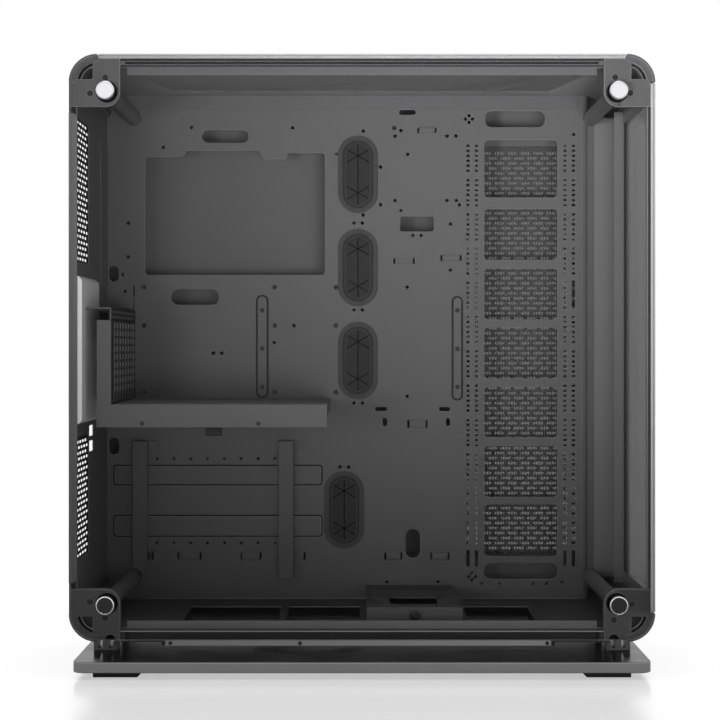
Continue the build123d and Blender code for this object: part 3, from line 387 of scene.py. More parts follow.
def soften(node, width, material, body="case"):
    """A copy of a node with its edges rounded, which stands for it."""
    builder = bmesh.new()
    builder.from_mesh(NODES[node].data)
    bmesh.ops.remove_doubles(builder, verts=builder.verts, dist=1e-6)
    bmesh.ops.dissolve_limit(builder, angle_limit=math.radians(1.0), verts=builder.verts, edges=builder.edges)
    mesh = bpy.data.meshes.new(node + "_finished")
    builder.to_mesh(mesh)
    builder.free()
    source = bpy.data.objects.new(node + "_source", mesh)
    bpy.context.scene.collection.objects.link(source)
    bevel = source.modifiers.new("edges", "BEVEL")
    bevel.width = width * MM
    bevel.segments = 2
    bevel.limit_method = "ANGLE"
    bevel.angle_limit = math.radians(SHARP_ANGLE)
    finished = bpy.data.meshes.new_from_object(source.evaluated_get(bpy.context.evaluated_depsgraph_get()))
    bpy.data.objects.remove(source)
    finished.name = node + "_finished"
    piece = keep(node + "_finished", finished, material, body, ROUNDED_SHARP_ANGLE)
    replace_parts(piece, node)
    return piece


# Every node first gets its own finish

FINISH = {
    # The stand clamps get the lighter clamp coat, a painted highlight
    "base_plate": BASE_COAT, "base_feet": FOOT_RUBBER, "stand_clamps": CLAMP_LIT,
    # The bottom panel gets the darker chassis coat, painted shade
    "bottom_panel": SHADED_CHASSIS, "dust_filter": FILTER_PLASTIC, "filter_guides": BLACK_PLASTIC,
    # The bottom side rail gets the darker rail coat, painted shade at the case's foot
    "floor_panel": CHASSIS, "top_panel": CHASSIS, "bottom_side_rail": RAIL_SHADE, "top_side_rail": FRAME_COAT,
    "top_glass": TINTED_GLASS, "front_glass": TINTED_GLASS, "left_glass": GLASS,
    "top_seal": RUBBER, "front_seal": RUBBER,
    "top_strip": FRAME_COAT, "front_strip": FRAME_COAT, "corner_bars": FRAME_COAT,
    "corner_brackets": FRAME_COAT, "corner_posts": POST_STEEL, "glass_screws": SCREW_STEEL,
    # The front wall and channel get the lighter coat, painted light
    "front_wall": FRONT_WALL_LIT, "front_channel": FRONT_WALL_LIT, "rear_panel": CHASSIS, "passage_cover": CHASSIS,
    # The slot covers get the near-black coat, painted shade where light does not reach them
    "slot_bracket": CHASSIS, "slot_covers": DEEP_SHADE, "slot_shield": SHIELD_COAT, "card_shelf": CHASSIS,
    "bay_uprights": CHASSIS, "shelf_latch": BLACK_PLASTIC, "motherboard_tray": TRAY_COAT,
    "cable_grommets": RUBBER, "cable_rails": TRAY_COAT, "drive_bracket": CHASSIS,
    "drive_thumb_screw": SMALL_SCREW, "right_cover": CHASSIS, "power_button": BUTTON_PLASTIC,
    "reset_button": BUTTON_PLASTIC, "button_switches": BLACK_PLASTIC, "port_board": BOARD_GREEN,
    "usb_a_ports": PORT_METAL, "usb_c_port": PORT_METAL, "audio_jack": BLACK_PLASTIC,
}
for node_name, node in NODES.items():
    node.data.materials.clear()
    node.data.materials.append(FINISH[node_name])


# Motherboard tray

# Places are x and z. Boxes are the low and high x, then the low and high z.
TRAY_SMALL_HOLES = [
    (-202.0, 609.0), (-82.1, 608.8), (-276.7, 495.6), (-276.7, 455.7), (-283.7, 435.0), (-280.4, 414.9),
    (-280.4, 394.1), (-175.8, 341.8), (-166.0, 341.8), (-175.8, 287.1), (-166.0, 287.1), (1.5, 604.8),
    (-30.2, 577.7), (21.9, 562.3), (21.9, 517.6), (1.2, 505.4), (-9.5, 496.0), (0.4, 496.0), (-9.6, 393.1),
    (0.4, 393.1), (-9.6, 282.8), (0.4, 282.8), (-26.0, 207.0), (-16.1, 207.0), (46.2, 605.5), (39.1, 599.0),
    (54.1, 577.4), (39.1, 522.6), (46.2, 510.6), (60.4, 481.2), (69.9, 481.2), (100.6, 599.0), (111.3, 599.0),
    (250.7, 601.0), (100.6, 522.6), (111.7, 522.6), (115.2, 517.5), (104.7, 494.8), (104.7, 440.3),
    (29.6, 70.9), (90.0, 70.9), (126.7, 623.2), (126.7, 615.0), (122.5, 619.1), (130.8, 619.1), (130.2, 81.0),
    (130.2, 72.7), (126.1, 76.8), (134.4, 76.8), (142.1, 68.9), (162.8, 68.9), (202.5, 68.9), (218.4, 68.9),
    (236.8, 70.9), (-258.1, 375.0), (-103.7, 374.4), (-80.5, 374.4), (-31.1, 374.4), (-103.7, 354.2),
    (53.6, 420.0), (53.6, 290.8), (-235.2, 585.5), (-258.1, 420.0), (-103.2, 420.0), (-30.8, 420.0),
    (-258.1, 295.5), (-103.2, 295.5), (-30.8, 295.5),
]

# Boxes, each with its corner radius
TRAY_RECTS = [
    (45.0, 85.2, 485.9, 503.7, 3.0), (144.7, 231.3, 526.2, 594.2, 5.0), (144.7, 231.3, 452.2, 512.5, 5.0),
    (144.7, 231.3, 381.7, 442.1, 5.0), (144.7, 231.3, 311.9, 372.2, 5.0), (144.7, 231.3, 242.0, 301.8, 5.0),
    (144.7, 231.3, 171.6, 231.9, 5.0), (144.7, 231.3, 101.2, 162.7, 5.0), (145.6, 216.7, 609.4, 628.6, 8.0),
    (144.4, 231.6, 74.5, 93.4, 8.0), (15.4, 29.6, 273.4, 278.1, 2.2), (24.4, 29.6, 255.6, 265.1, 2.4),
    (91.2, 104.4, 273.4, 278.1, 2.2), (99.5, 104.4, 255.6, 265.1, 2.3),
]
# Middle, width and height
TRAY_OBLONGS = [
    (-161.75, 598.4, 55.3, 15.4), (-197.7, 408.35, 56.8, 18.9), (-293.8, 435.9, 11.8, 18.4),
    (60.1, 116.5, 17.2, 34.4), (54.0, 627.0, 20.0, 6.0), (250.4, 411.3, 4.4, 34.4),
    (-293.6, 232.0, 11.8, 20.0), (-270.3, 415.8, 2.0, 13.6), (-270.3, 395.6, 2.0, 13.6),
]
SLOT_COLUMNS = (125.5, 135.6, 240.4, 250.4)
SLOT_GROUPS = 12
SLOT_GROUP_PITCH = 40.6
SLOT_ROWS = 6
SLOT_ROW_PITCH = 5.9
SLOT_TOP_Z = 587.5
SLOT_END_Z = 112
# The last column leaves room for one tall slot
TALL_SLOT_X = 250
TALL_SLOT_Z = (392, 431)
TABS = [
    (65.1, 88.8, 602.5, 609.0), (36.7, 62.8, 447.4, 454.5), (92.4, 118.4, 451.0, 458.1),
    (53.3, 78.1, 253.2, 262.7), (-253.4, -246.3, 97.0, 106.4), (-219.0, -189.4, 97.0, 106.4),
    (-144.4, -118.4, 97.0, 106.4), (-84.1, -66.3, 97.0, 106.4), (26.0, 48.0, 97.0, 106.4),
    (80.5, 104.2, 97.0, 106.4),
]
TAB_SLIT_INSET = 1.5
TAB_SLIT_HALF = 1.2
TAB_SLIT_R = 1.1
GROMMETS = ((-4.8, 553.6), (-4.8, 443.3), (-4.8, 333.2), (-21.1, 156.6))
GROMMET_HOLE = (43.0, 87.5)
SMALL_HOLE_R = 2.2
SLOT_SIZE = (4.6, 3.4)
# Middle's height, width and height of the slot at each column's foot
LAST_SLOT = (98.7, 4.4, 20.0)
ROW_HOLE_R = 2.0
ROW_HOLE_Z = (217.1, 117.1)
ROW_HOLE_X = tuple(-242.7 + 19.95 * i for i in range(9))
TRAY_BEND_R = 8.0
TRAY_END_X = 269.0
TRAY_BACK_Y = 94.0
TRAY_CORNER_X = -280.2
TRAY_CORNER_R = 16.5
TRAY_CORNER_Z = (67.5, 630)
TRAY_EAR = [(-296.7, 621.7), (REAR_X, 621.7), (REAR_X, 75.8), (-296.7, 75.8)]


def tray_outline():
    """Rim of the tray up to the start of its bend."""
    bend_x = TRAY_END_X - TRAY_BEND_R
    low_z, high_z = TRAY_CORNER_Z
    points = [(bend_x, FLOOR_Z), (bend_x, CEILING_Z)]
    points += arc(TRAY_CORNER_X, high_z, TRAY_CORNER_R, 90, 90, 6) + TRAY_EAR
    return points + arc(TRAY_CORNER_X, low_z, TRAY_CORNER_R, 180, 90, 6)


def cpu_outline():
    """Opening behind the processor, with the steps of its top edge."""
    lower = [p for p in round_box(-256.9, -43.8, 434.4, 500, 5.0) if p[1] < 450]
    right = [p for p in round_box(-87.6, -43.8, 500, 578.8, 5.0) if p[0] > -60 and p[1] > 560]
    left = [p for p in round_box(-256.9, -211.9, 500, 574.1, 5.0) if p[0] < -240 and p[1] > 560]
    first = [p for p in lower if p[0] > -150]
    last = [p for p in lower if p[0] < -150]
    steps = [(-87.6, 578.8), (-90.0, 571.7), (-116.0, 571.7), (-122.0, 581.6), (-207.0, 581.6),
             (-211.9, 574.1)]
    return first + right + steps + left + last


def tray_holes():
    """All the openings of the tray."""
    holes = [cpu_outline()]
    holes += [circle(x, z, SMALL_HOLE_R, 14) for x, z in TRAY_SMALL_HOLES]
    holes += [round_box(*rect) for rect in TRAY_RECTS]
    holes += [oblong(*slot) for slot in TRAY_OBLONGS]
    holes += [oblong(x, z, *GROMMET_HOLE) for x, z in GROMMETS]
    for x in SLOT_COLUMNS:
        holes.append(oblong(x, *LAST_SLOT))
        for group in range(SLOT_GROUPS):
            for row in range(SLOT_ROWS):
                z = SLOT_TOP_Z - group * SLOT_GROUP_PITCH - row * SLOT_ROW_PITCH
                taken = x > TALL_SLOT_X and TALL_SLOT_Z[0] < z < TALL_SLOT_Z[1]
                if z > SLOT_END_Z and not taken:
                    holes.append(oblong(x, z, *SLOT_SIZE, 3))
    for z in ROW_HOLE_Z:
        holes += [circle(x, z, ROW_HOLE_R, 12) for x in ROW_HOLE_X]
    for x0, x1, z0, z1 in TABS:
        for x in (x0 + TAB_SLIT_INSET, x1 - TAB_SLIT_INSET):
            holes.append(round_box(x - TAB_SLIT_HALF, x + TAB_SLIT_HALF, z0, z1, TAB_SLIT_R, 3))
    return holes


tray = sheet("tray_sheet", [tray_outline()] + tray_holes(), "facing", TRAY_Y, TRAY_Y + TRAY_T,
             TRAY_COAT, 0.35)
# The tray's rounded edges get a painted highlight.
highlight_edges(tray, EDGE_HIGHLIGHT)
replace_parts(tray, "motherboard_tray")


def tray_bend():
    """Rounded right edge of the tray, turned back."""
    centre = (TRAY_END_X - TRAY_BEND_R, TRAY_Y + TRAY_BEND_R)
    outer = arc(*centre, TRAY_BEND_R, -90, 90, 8) + [(TRAY_END_X, TRAY_BACK_Y)]
    inner = arc(*centre, TRAY_BEND_R - TRAY_T, -90, 90, 8) + [(TRAY_END_X - TRAY_T, TRAY_BACK_Y)]
    return sheet("tray_bend", [outer + inner[::-1]], "level", FLOOR_Z, CEILING_Z, TRAY_COAT)


tray_bend()

TRAY_PANELS = ((186.9, 208.4), (126.0, 149.1))
PANEL_ENDS = (-293.0, -48.0)
GROOVE_ENDS = (-294.3, -46.7)
GROOVE_WIDTH = 1.3
for number, (z0, z1) in enumerate(TRAY_PANELS, start=1):
    rim = round_box(*PANEL_ENDS, z0, z1, 3.0)
    around = round_box(*GROOVE_ENDS, z0 - GROOVE_WIDTH, z1 + GROOVE_WIDTH, 3.6)
    # A near-black ring round each panel, painted shade in its groove
    sheet(f"tray_groove_{number}", [around, rim], "facing", TRAY_Y - 0.1, TRAY_Y, GAP_SHADE)
    panel = sheet(f"tray_panel_{number}", [rim], "facing", TRAY_Y - 1.2, TRAY_Y, TRAY_COAT, 0.5)
    # The panel's rounded edges get a painted highlight.
    highlight_edges(panel, EDGE_HIGHLIGHT)

STRIP_ENDS = (-254.0, 255.0)
STRIP_Y = TRAY_Y - 1.0
HEAD_Z = (630.6, 646.0)
FOOT_Z = (FLOOR_Z, FLOOR_Z + 1.3)
INFILL_SIDES = (262.0, 276.0, 77.0, 620.0)
INFILL_Y = (86.2, 87.4)
sheet("tray_head", [frame_box(*STRIP_ENDS, *HEAD_Z)], "facing", STRIP_Y, TRAY_Y, CHASSIS, 0.4)
# The tray's foot is a lighter strip, a painted highlight where tray and floor meet
sheet("tray_foot", [frame_box(*STRIP_ENDS, *FOOT_Z)], "facing", STRIP_Y, TRAY_Y, LIT_COAT, 0.3)
sheet("front_infill", [frame_box(*INFILL_SIDES)], "facing", *INFILL_Y, CHASSIS)

TAB_INSET = 2.7
TAB_MARGIN = 0.4
TAB_T = 1.2
TAB_RISE = 1.0
TAB_FACE_Y = TRAY_Y - 2.2


def tabs():
    """Small raised bridges for cable ties."""
    builder = bmesh.new()
    for x0, x1, z0, z1 in TABS:
        low, high = z0 + TAB_MARGIN, z1 - TAB_MARGIN
        add_box(builder, x0 + TAB_INSET, x1 - TAB_INSET, TAB_FACE_Y, TRAY_Y - TAB_RISE, low, high)
        for x in (x0 + TAB_INSET, x1 - TAB_INSET - TAB_T):
            add_box(builder, x, x + TAB_T, TRAY_Y - TAB_RISE, TRAY_Y, low, high)
    return finish_mesh("tray_tabs", builder, TRAY_COAT, bevel=0.25)


tabs()


# Grommets

RIM_SIZES = ((47.0, 91.5), (36.0, 80.5))
SKIN_SIZE = (42.6, 87.1)
LIP_SIZES = ((30.2, 74.0), (28.6, 72.4))
SLIT_HALF_WIDTH = 0.55
LONG_SLIT = 73.0
SHORT_SLIT = 31.0
STAR_OFFSET = 22.0
STAR_ANGLES = (-60, 60)


def grommet(number, x, z):
    """Rubber rim, membrane and star slits."""
    rim = sheet(f"grommet_rim_{number}", [oblong(x, z, *size, 12) for size in RIM_SIZES], "facing",
                TRAY_Y - 1.5, TRAY_Y, RUBBER_RIM, 0.6)
    sheet(f"grommet_skin_{number}", [oblong(x, z, *SKIN_SIZE, 12)], "facing", TRAY_Y, TRAY_Y + 1.4,
          RUBBER, 0.1)
    sheet(f"grommet_lip_{number}", [oblong(x, z, *size, 12) for size in LIP_SIZES], "facing",
          TRAY_Y - 0.4, TRAY_Y, RUBBER_RIM, 0.15)
    builder = bmesh.new()
    centre = Vector((x * MM, TRAY_Y * MM, z * MM))
    for side in (-1, 0, 1):
        half = (SHORT_SLIT if side else LONG_SLIT) / 2
        for angle in (STAR_ANGLES if side else (0,)):
            verts = add_box(builder, x - SLIT_HALF_WIDTH, x + SLIT_HALF_WIDTH, TRAY_Y - 0.15, TRAY_Y + 0.2,
                            z - half, z + half)
            turn = Matrix.Translation(centre) @ Matrix.Rotation(math.radians(angle), 4, "Y")
            turn = Matrix.Translation((0, 0, side * STAR_OFFSET * MM)) @ turn @ Matrix.Translation(-centre)
            bmesh.ops.transform(builder, matrix=turn, verts=verts)
    # The slits are near-black boxes, painted shade in the cuts
    finish_mesh(f"grommet_slits_{number}", builder, GAP_SHADE)
    return rim


rims = [grommet(i, x, z) for i, (x, z) in enumerate(GROMMETS, start=1)]
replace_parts(rims[0], "cable_grommets")


# Cable rails

RAIL_RIM = 4.6
RAIL_RIM_Y = TRAY_Y - 0.7
RAIL_FACE_Y = TRAY_Y - 2.0


def cable_rail(number, x0, x1, z0, z1):
    """Raised strip on its dark rim."""
    x, z = (x0 + x1) / 2, (z0 + z1) / 2
    width, height = x1 - x0, z1 - z0
    rim = sheet(f"rail_rim_{number}", [oblong(x, z, width, height, 8)], "facing", RAIL_RIM_Y, TRAY_Y,
                BLACK_PLASTIC, 0.2)
    sheet(f"rail_strip_{number}", [oblong(x, z, width - RAIL_RIM, height - RAIL_RIM, 8)], "facing",
          RAIL_FACE_Y, RAIL_RIM_Y, TRAY_COAT, 0.4)
    return rim


rail = cable_rail(1, -125.5, -110.5, 288.6, 411.0)
cable_rail(2, 106.0, 119.6, 285.6, 409.7)
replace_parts(rail, "cable_rails")


# Small screws

def screw_heads(name, places, radius, material, height=0.9, recess=0.45, body="case"):
    """Round heads with a recess, seen from the left side. Places are x, face and z."""
    builder = bmesh.new()
    for x, y, z in places:
        turned(builder, [(y - height * 0.3, 0), (y - height * 0.3, radius * recess),
                         (y - height, radius * recess * 1.1), (y - height, radius * 0.75),
                         (y - height * 0.5, radius), (y, radius), (y, 0)], x, z, 20)
    return finish_mesh(name, builder, material, body)


tray_screws = [(-118.0, RAIL_FACE_Y, z) for z in (392.4, 347.6, 302.3)]
tray_screws += [(112.8, RAIL_FACE_Y, z) for z in (392.4, 346.8, 301.8)]
tray_screws += [(38.1, TRAY_Y, 608.4)]
screw_heads("tray_screws", tray_screws, 2.6, SMALL_SCREW)
studs = [(x, TRAY_Y, z) for x in (-258.1, -103.4, -30.9) for z in (420.0, 374.6, 295.5)]
screw_heads("board_studs", studs, 2.7, SMALL_SCREW, 2.6, 0.55)


# Right cover

COVER_SLOT = (12.1, 3.1)
COVER_PITCH = (15.7, 6.05)
COVER_FIRST = (127.0, 105.6)
COVER_COLUMNS = 9
COVER_ROWS = 80
SIDE_RIM = (-308.0, 308.0, 40.0, 657.5, 27.5)
cover_outlines = [round_box(*SIDE_RIM, 8)]
for row in range(COVER_ROWS):
    shift = COVER_PITCH[0] / 2 if row % 2 else 0.0
    for column in range(COVER_COLUMNS - row % 2):
        cover_outlines.append(oblong(COVER_FIRST[0] + shift + column * COVER_PITCH[0],
                                     COVER_FIRST[1] + row * COVER_PITCH[1], *COVER_SLOT, 2))
cover = sheet("cover_sheet", cover_outlines, "facing", COVER_Y, BACK_Y, CHASSIS)
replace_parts(cover, "right_cover")
NET_SIDES = (117.0, 263.0, 98.0, 592.0)
sheet("cover_net", [frame_box(*NET_SIDES)], "facing", COVER_Y - 0.5, COVER_Y - 0.1, FINE_NET)


# Rear panel

def slot_field(x0, x1, z0, z1):
    """Staggered slots that fill a rectangle."""
    slots = []
    width, height = COVER_SLOT
    row = 0
    z = z0 + height / 2
    while z <= z1 - height / 2:
        x = x0 + width / 2 + (COVER_PITCH[0] / 2 if row % 2 else 0.0)
        while x <= x1 - width / 2:
            slots.append(oblong(x, z, width, height, 2))
            x += COVER_PITCH[0]
        z += COVER_PITCH[1]
        row += 1
    return slots


REAR_Z = (67.5, 630.0)
REAR_BACK_X = REAR_X - PANEL_T
REAR_VENTS = ((440.5, 593.0), (123.5, 254.0))
VENT_Y = (-114.0, -44.0)
VENT_T = 0.5
REAR_PASSAGES = ((34.55, 79.0, 425.25, 584.0), (-5.2, 79.0, 291.0, 389.0), (-41.0, -13.0, 233.5, 245.5),
                 (-41.0, -13.0, 250.5, 262.5))
TURN_R = 22.5
TURN_X = -280.5
TURN_END_X = -262.5
HEM = [(-HALF, 100.25), (-305.0, 100.25), (REAR_X, 103.75), (REAR_X, 593.75), (-305.0, 597.25),
       (-HALF, 597.25)]


def rear_turn(name, low, sign):
    """Rounded end of the rear wall, turned towards the top or bottom panel."""
    sides = []
    for radius in (TURN_R, TURN_R - PANEL_T):
        sides.append(arc(TURN_X, low, radius, 180, -90 * sign, 8) + [(TURN_END_X, low + sign * radius)])
    sheet(name, [sides[0] + sides[1][::-1]], "facing", EDGE_Y, COVER_Y, CHASSIS)


def rear_wall():
    """Rear wall with its vents and passages, its rounded ends and its left edge."""
    outlines = [frame_box(EDGE_Y, COVER_Y, *REAR_Z)]
    for number, (z0, z1) in enumerate(REAR_VENTS, start=1):
        rim = frame_box(*VENT_Y, z0, z1)
        outlines.append(rim)
        slots = slot_field(VENT_Y[0] + 1.6, VENT_Y[1] - 1.0, z0 + 2, z1 - 1)
        # Each vent's sheet is near black, painted shade in the vents
        sheet(f"rear_vent_{number}", [rim] + slots, "cross", REAR_BACK_X, REAR_BACK_X + VENT_T, DEEP_SHADE)
    outlines += [frame_box(*sides) for sides in REAR_PASSAGES]
    wall = sheet("rear_wall", outlines, "cross", REAR_BACK_X, REAR_X, CHASSIS, 0.15)
    rear_turn("rear_turn_top", REAR_Z[1], 1)
    rear_turn("rear_turn_bottom", REAR_Z[0], -1)
    sheet("rear_hem", [HEM], "facing", FACE_Y, EDGE_Y, HEM_COAT, 0.5)
    # The rear flange is near black, a painted shadow along the gap beside the brackets and hem.
    sheet("rear_flange", [frame_box(-310.3, REAR_BACK_X, *REAR_Z)], "facing", EDGE_Y, EDGE_Y + PANEL_T,
          DEEP_SHADE)
    return wall


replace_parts(rear_wall(), "rear_panel")


# Corner brackets with their folds and screws

BRACKET_X = 256.0
BRACKET_Z = 604.0
BRACKET_ROUND = 15.0
BRACKET_HOLE_R = 12.0
FOLD_T = 1.5
FOLD_DEPTH = 8.0
FOLD_END_X = 301.2
FOLD_END_Z = 646.2
STEP_X = 280.5
STEP_Z = 630.0
PLATE_STEPS = [(STEP_X, 652.5), (285.0, 652.0), (285.0, 633.0), (302.8, 633.0), (303.0, STEP_Z)]
NOTCH_X = 266.5
NOTCH_R = 6.0
SCREW_HEAD_R = 3.3
SCREW_RING_R = 3.9
BRACKET_SCREWS = ((-271.5, 634.9), (-287.8, 618.0), (267.9, 635.1), (283.9, 618.4),
                  (-287.9, 79.9), (-271.9, 63.0), (285.7, 77.8), (266.6, 60.8))


def bracket(name, side, up, side_gap, edge_gap):
    """L plate with its hole, and the fold along its inner edges."""
    x1 = HALF - side_gap
    z1 = TOP - edge_gap
    centre = (BRACKET_X + BRACKET_ROUND, BRACKET_Z + BRACKET_ROUND)
    corner = arc(*centre, BRACKET_ROUND, 270, -90, 8)
    inner = arc(*centre, BRACKET_ROUND - FOLD_T, 270, -90, 8)
    plate = [(BRACKET_X, z1), (STEP_X, z1)] + PLATE_STEPS + [(x1, STEP_Z), (x1, BRACKET_Z)] + corner
    fold = [(FOLD_END_X, BRACKET_Z)] + corner + [(BRACKET_X, FOLD_END_Z), (BRACKET_X + FOLD_T, FOLD_END_Z)]
    fold += inner[::-1] + [(FOLD_END_X, BRACKET_Z + FOLD_T)]

    def place(points):
        return [(side * x, z if up else 2 * MID_Z - z) for x, z in points]

    outlines = [place(plate), place(circle(POST_X, POST_Z[1], BRACKET_HOLE_R, 48))]
    if not up:
        notch = arc(NOTCH_X, z1, NOTCH_R, 180, 180, 9)
        head = [(BRACKET_X, z1)] + notch + [(STEP_X, z1)]
        outlines[0] = place(head + plate[2:])
    piece = sheet(name, outlines, "facing", FACE_Y, EDGE_Y, FRAME_COAT, 0.45)
    # The bracket's rounded edges get a painted highlight.
    highlight_edges(piece, EDGE_HIGHLIGHT)
    sheet(name + "_fold", [place(fold)], "facing", EDGE_Y, EDGE_Y + FOLD_DEPTH, FRAME_COAT, 0.2)
    return piece


brackets = [bracket("bracket_front_top", 1, True, 5.0, 5.0), bracket("bracket_rear_top", -1, True, 2.0, 5.0),
            bracket("bracket_front_bottom", 1, False, 5.0, 2.0),
            bracket("bracket_rear_bottom", -1, False, 2.0, 2.0)]
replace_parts(brackets[0], "corner_brackets")
bracket_screws = [(x, FACE_Y + 0.2, z) for x, z in BRACKET_SCREWS]
screw_heads("bracket_screws", bracket_screws, SCREW_HEAD_R, BLACK_PLASTIC, 0.7, 0.4)
# Each screw gets a lighter ring round its head, a painted highlight on its rim
for number, (x, z) in enumerate(BRACKET_SCREWS, start=1):
    ring = [circle(x, z, radius, 24) for radius in (SCREW_RING_R, SCREW_HEAD_R)]
    sheet(f"bracket_screw_ring_{number}", ring, "facing", FACE_Y - 0.35, FACE_Y, HEM_COAT, 0.1)


# Posts and glass screws

MOUTH_Y = -100.5
SHAFT_R = 8.8
# Profiles of places along Y and radii
POST_PROFILE = [(MOUTH_Y, 0), (MOUTH_Y, 11.0), (-115.3, 11.0), (EDGE_Y, 11.2), (EDGE_Y, 11.4),
                (-115.2, POST_R), (-98.0, POST_R), (-94.0, SHAFT_R), (82.7, SHAFT_R), (TRAY_Y, 8.5),
                (TRAY_Y, 0)]
SLEEVE_PROFILE = [(-115.8, 4.1), (-115.8, 10.9), (-100.6, 10.9), (-100.6, 4.1), (-115.8, 4.1)]
SCREW_PROFILE = [(-129.5, 0), (-129.5, 8.3), (-130.0, 8.7), (-130.0, 8.9), (-129.6, 9.5), (-129.0, 9.7),
                 (-122.7, 9.7), (-122.0, 9.3), (-122.0, 4.0), (MOUTH_Y, 4.0), (MOUTH_Y, 0)]
SCREW_FACE_PROFILE = [(-129.9, 0), (-129.9, 8.2), (-129.5, 8.2), (-129.5, 0)]

posts = bmesh.new()
screws = bmesh.new()
sleeves = bmesh.new()
faces = {z: bmesh.new() for z in POST_Z}
for x in (-POST_X, POST_X):
    for z in POST_Z:
        turned(posts, POST_PROFILE, x, z, 64)
        turned(sleeves, SLEEVE_PROFILE, x, z, 48)
        turned(screws, SCREW_PROFILE, x, z, 64)
        turned(faces[z], SCREW_FACE_PROFILE, x, z, 64)
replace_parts(finish_mesh("posts", posts, POST_STEEL), "corner_posts")
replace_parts(finish_mesh("glass_screw_set", screws, SCREW_STEEL), "glass_screws")
# The sleeves are near black, painted shade in the brackets' holes behind the screws
finish_mesh("post_sleeves", sleeves, GAP_SHADE)
# The lower screws' faces are darker than the upper ones, painted shade
finish_mesh("screw_faces_low", faces[POST_Z[0]], SHADED_STEEL)
finish_mesh("screw_faces_high", faces[POST_Z[1]], SCREW_STEEL)


# Glass panes with ground edges

def pane(name, node, outlines, plane, low, high, thin_axis, edge_material):
    """Glass pane with another finish on its edges."""
    piece = sheet(name, outlines, plane, low, high, FINISH[node], 0.5)
    paint_faces(piece, edge_material, lambda normal: abs(normal[thin_axis]) < ALONG)
    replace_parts(piece, node)


PANE_HOLE_R = 5.0
PANE_BACK_Y = 41.0
screw_holes = [circle(x, z, PANE_HOLE_R, 32) for x in (-POST_X, POST_X) for z in POST_Z]
pane("left_pane", "left_glass", [round_box(*SIDE_RIM, 10)] + screw_holes, "facing",
     FACE_Y - GLASS_T, FACE_Y, 1, EDGE_FAINT)
pane("top_pane", "top_glass", [frame_box(-279.0, 279.0, FACE_Y, PANE_BACK_Y)], "level",
     TOP - GLASS_T, TOP, 2, GLASS_EDGE)
pane("front_pane", "front_glass", [frame_box(FACE_Y, PANE_BACK_Y, 69.0, 628.5)], "cross",
     HALF - GLASS_T, HALF, 0, GLASS_EDGE)


# Slot covers' vents, and the pierced strip above them

SLOT_COVERS = 8
FIRST_LIP_Y = -78.1
LIP_INSET = 2.6
SLOT_COVER_PITCH = 20.32
LIP_ROWS = 9
FIRST_LIP_Z = 301.5
LIP_PITCH = 8.6
LIP_SIZE = (0.8, 5.4)
STRIP_SIDES = (-94.0, 80.0)
STRIP_Z = (378.8, 391.2)
STRIP_BACK_Z = (379.0, 391.0)
SLOT_BAR_SIDES = (-5.0, 79.0, 377.5, 389.6)
STRIP_BACK_X = SLOT_X + 1.7
STRIP_ROWS = ((380.4, 0.0), (385.8, 6.2))
STRIP_SLOT = (8.0, 3.4, 1.6)
STRIP_SLOT_Y = tuple(-91.0 + 12.4 * i for i in range(13))


def slot_lips():
    """Pressed lips on the inner side of each cover's vents, in a lighter coat that is a painted highlight on
    their edges.
    """
    builder = bmesh.new()
    width, height = LIP_SIZE
    for number in range(SLOT_COVERS):
        y = FIRST_LIP_Y + SLOT_COVER_PITCH * number + LIP_INSET
        for row in range(LIP_ROWS):
            z = FIRST_LIP_Z + LIP_PITCH * row
            add_box(builder, SLOT_X + 1.3, SLOT_X + 2.6, y, y + width, z, z + height)
    return finish_mesh("slot_lips", builder, LIT_COAT)


def slot_strip():
    """Strip with two rows of slots in a near-black coat, painted shade, in front of a lighter one, painted
    light seen through the slots.
    """
    width, height, radius = STRIP_SLOT
    slots = [round_box(y + shift, y + shift + width, z, z + height, radius, 3)
             for z, shift in STRIP_ROWS for y in STRIP_SLOT_Y]
    sheet("slot_strip_back", [frame_box(*STRIP_SIDES, *STRIP_BACK_Z)], "cross", SLOT_X + 1.5, STRIP_BACK_X,
          LIT_COAT)
    sheet("slot_strip", [frame_box(*STRIP_SIDES, *STRIP_Z)] + slots, "cross", STRIP_BACK_X, SLOT_X + 2.0,
          DEEP_SHADE)
    # The bar behind the strip is near black, painted shade
    sheet("slot_bar", [frame_box(*SLOT_BAR_SIDES)], "cross", REAR_X, REAR_X + 1.0, DEEP_SHADE)


slot_lips()
slot_strip()


# The other solids get their edges rounded, by these widths

EDGES = {
    "base_plate": 0.9, "base_feet": 0.8, "stand_clamps": 0.5, "corner_bars": 0.5, "card_shelf": 0.4,
    "bay_uprights": 0.3, "shelf_latch": 0.5, "front_channel": 0.3, "front_wall": 0.3, "top_panel": 0.3,
    "floor_panel": 0.3, "top_side_rail": 0.25, "bottom_side_rail": 0.25, "drive_bracket": 0.3,
    "slot_shield": 0.4, "passage_cover": 0.25, "top_strip": 0.4, "front_strip": 0.4, "slot_bracket": 0.3,
    "slot_covers": 0.2,
}

finished = {node_name: soften(node_name, width, FINISH[node_name]) for node_name, width in EDGES.items()}
# Painted light and shade by facing: the slot bracket's faces towards the front, the floor panel's and drive
# bracket's top faces and the base plate's top get painted shade; the floor panel's front faces and the top
# panel's underside get painted light.
for node_name, axis, sign, material in (("slot_bracket", 0, 1, DEEP_SHADE), ("floor_panel", 1, -1, LIT_COAT),
                                        ("top_panel", 2, -1, CEILING_LIT), ("base_plate", 2, 1, BASE_TOP_SHADE),
                                        ("floor_panel", 2, 1, SHADED_CHASSIS),
                                        ("drive_bracket", 2, 1, SHADED_CHASSIS)):
    light_and_shade_by_facing(finished[node_name], axis, sign, material)
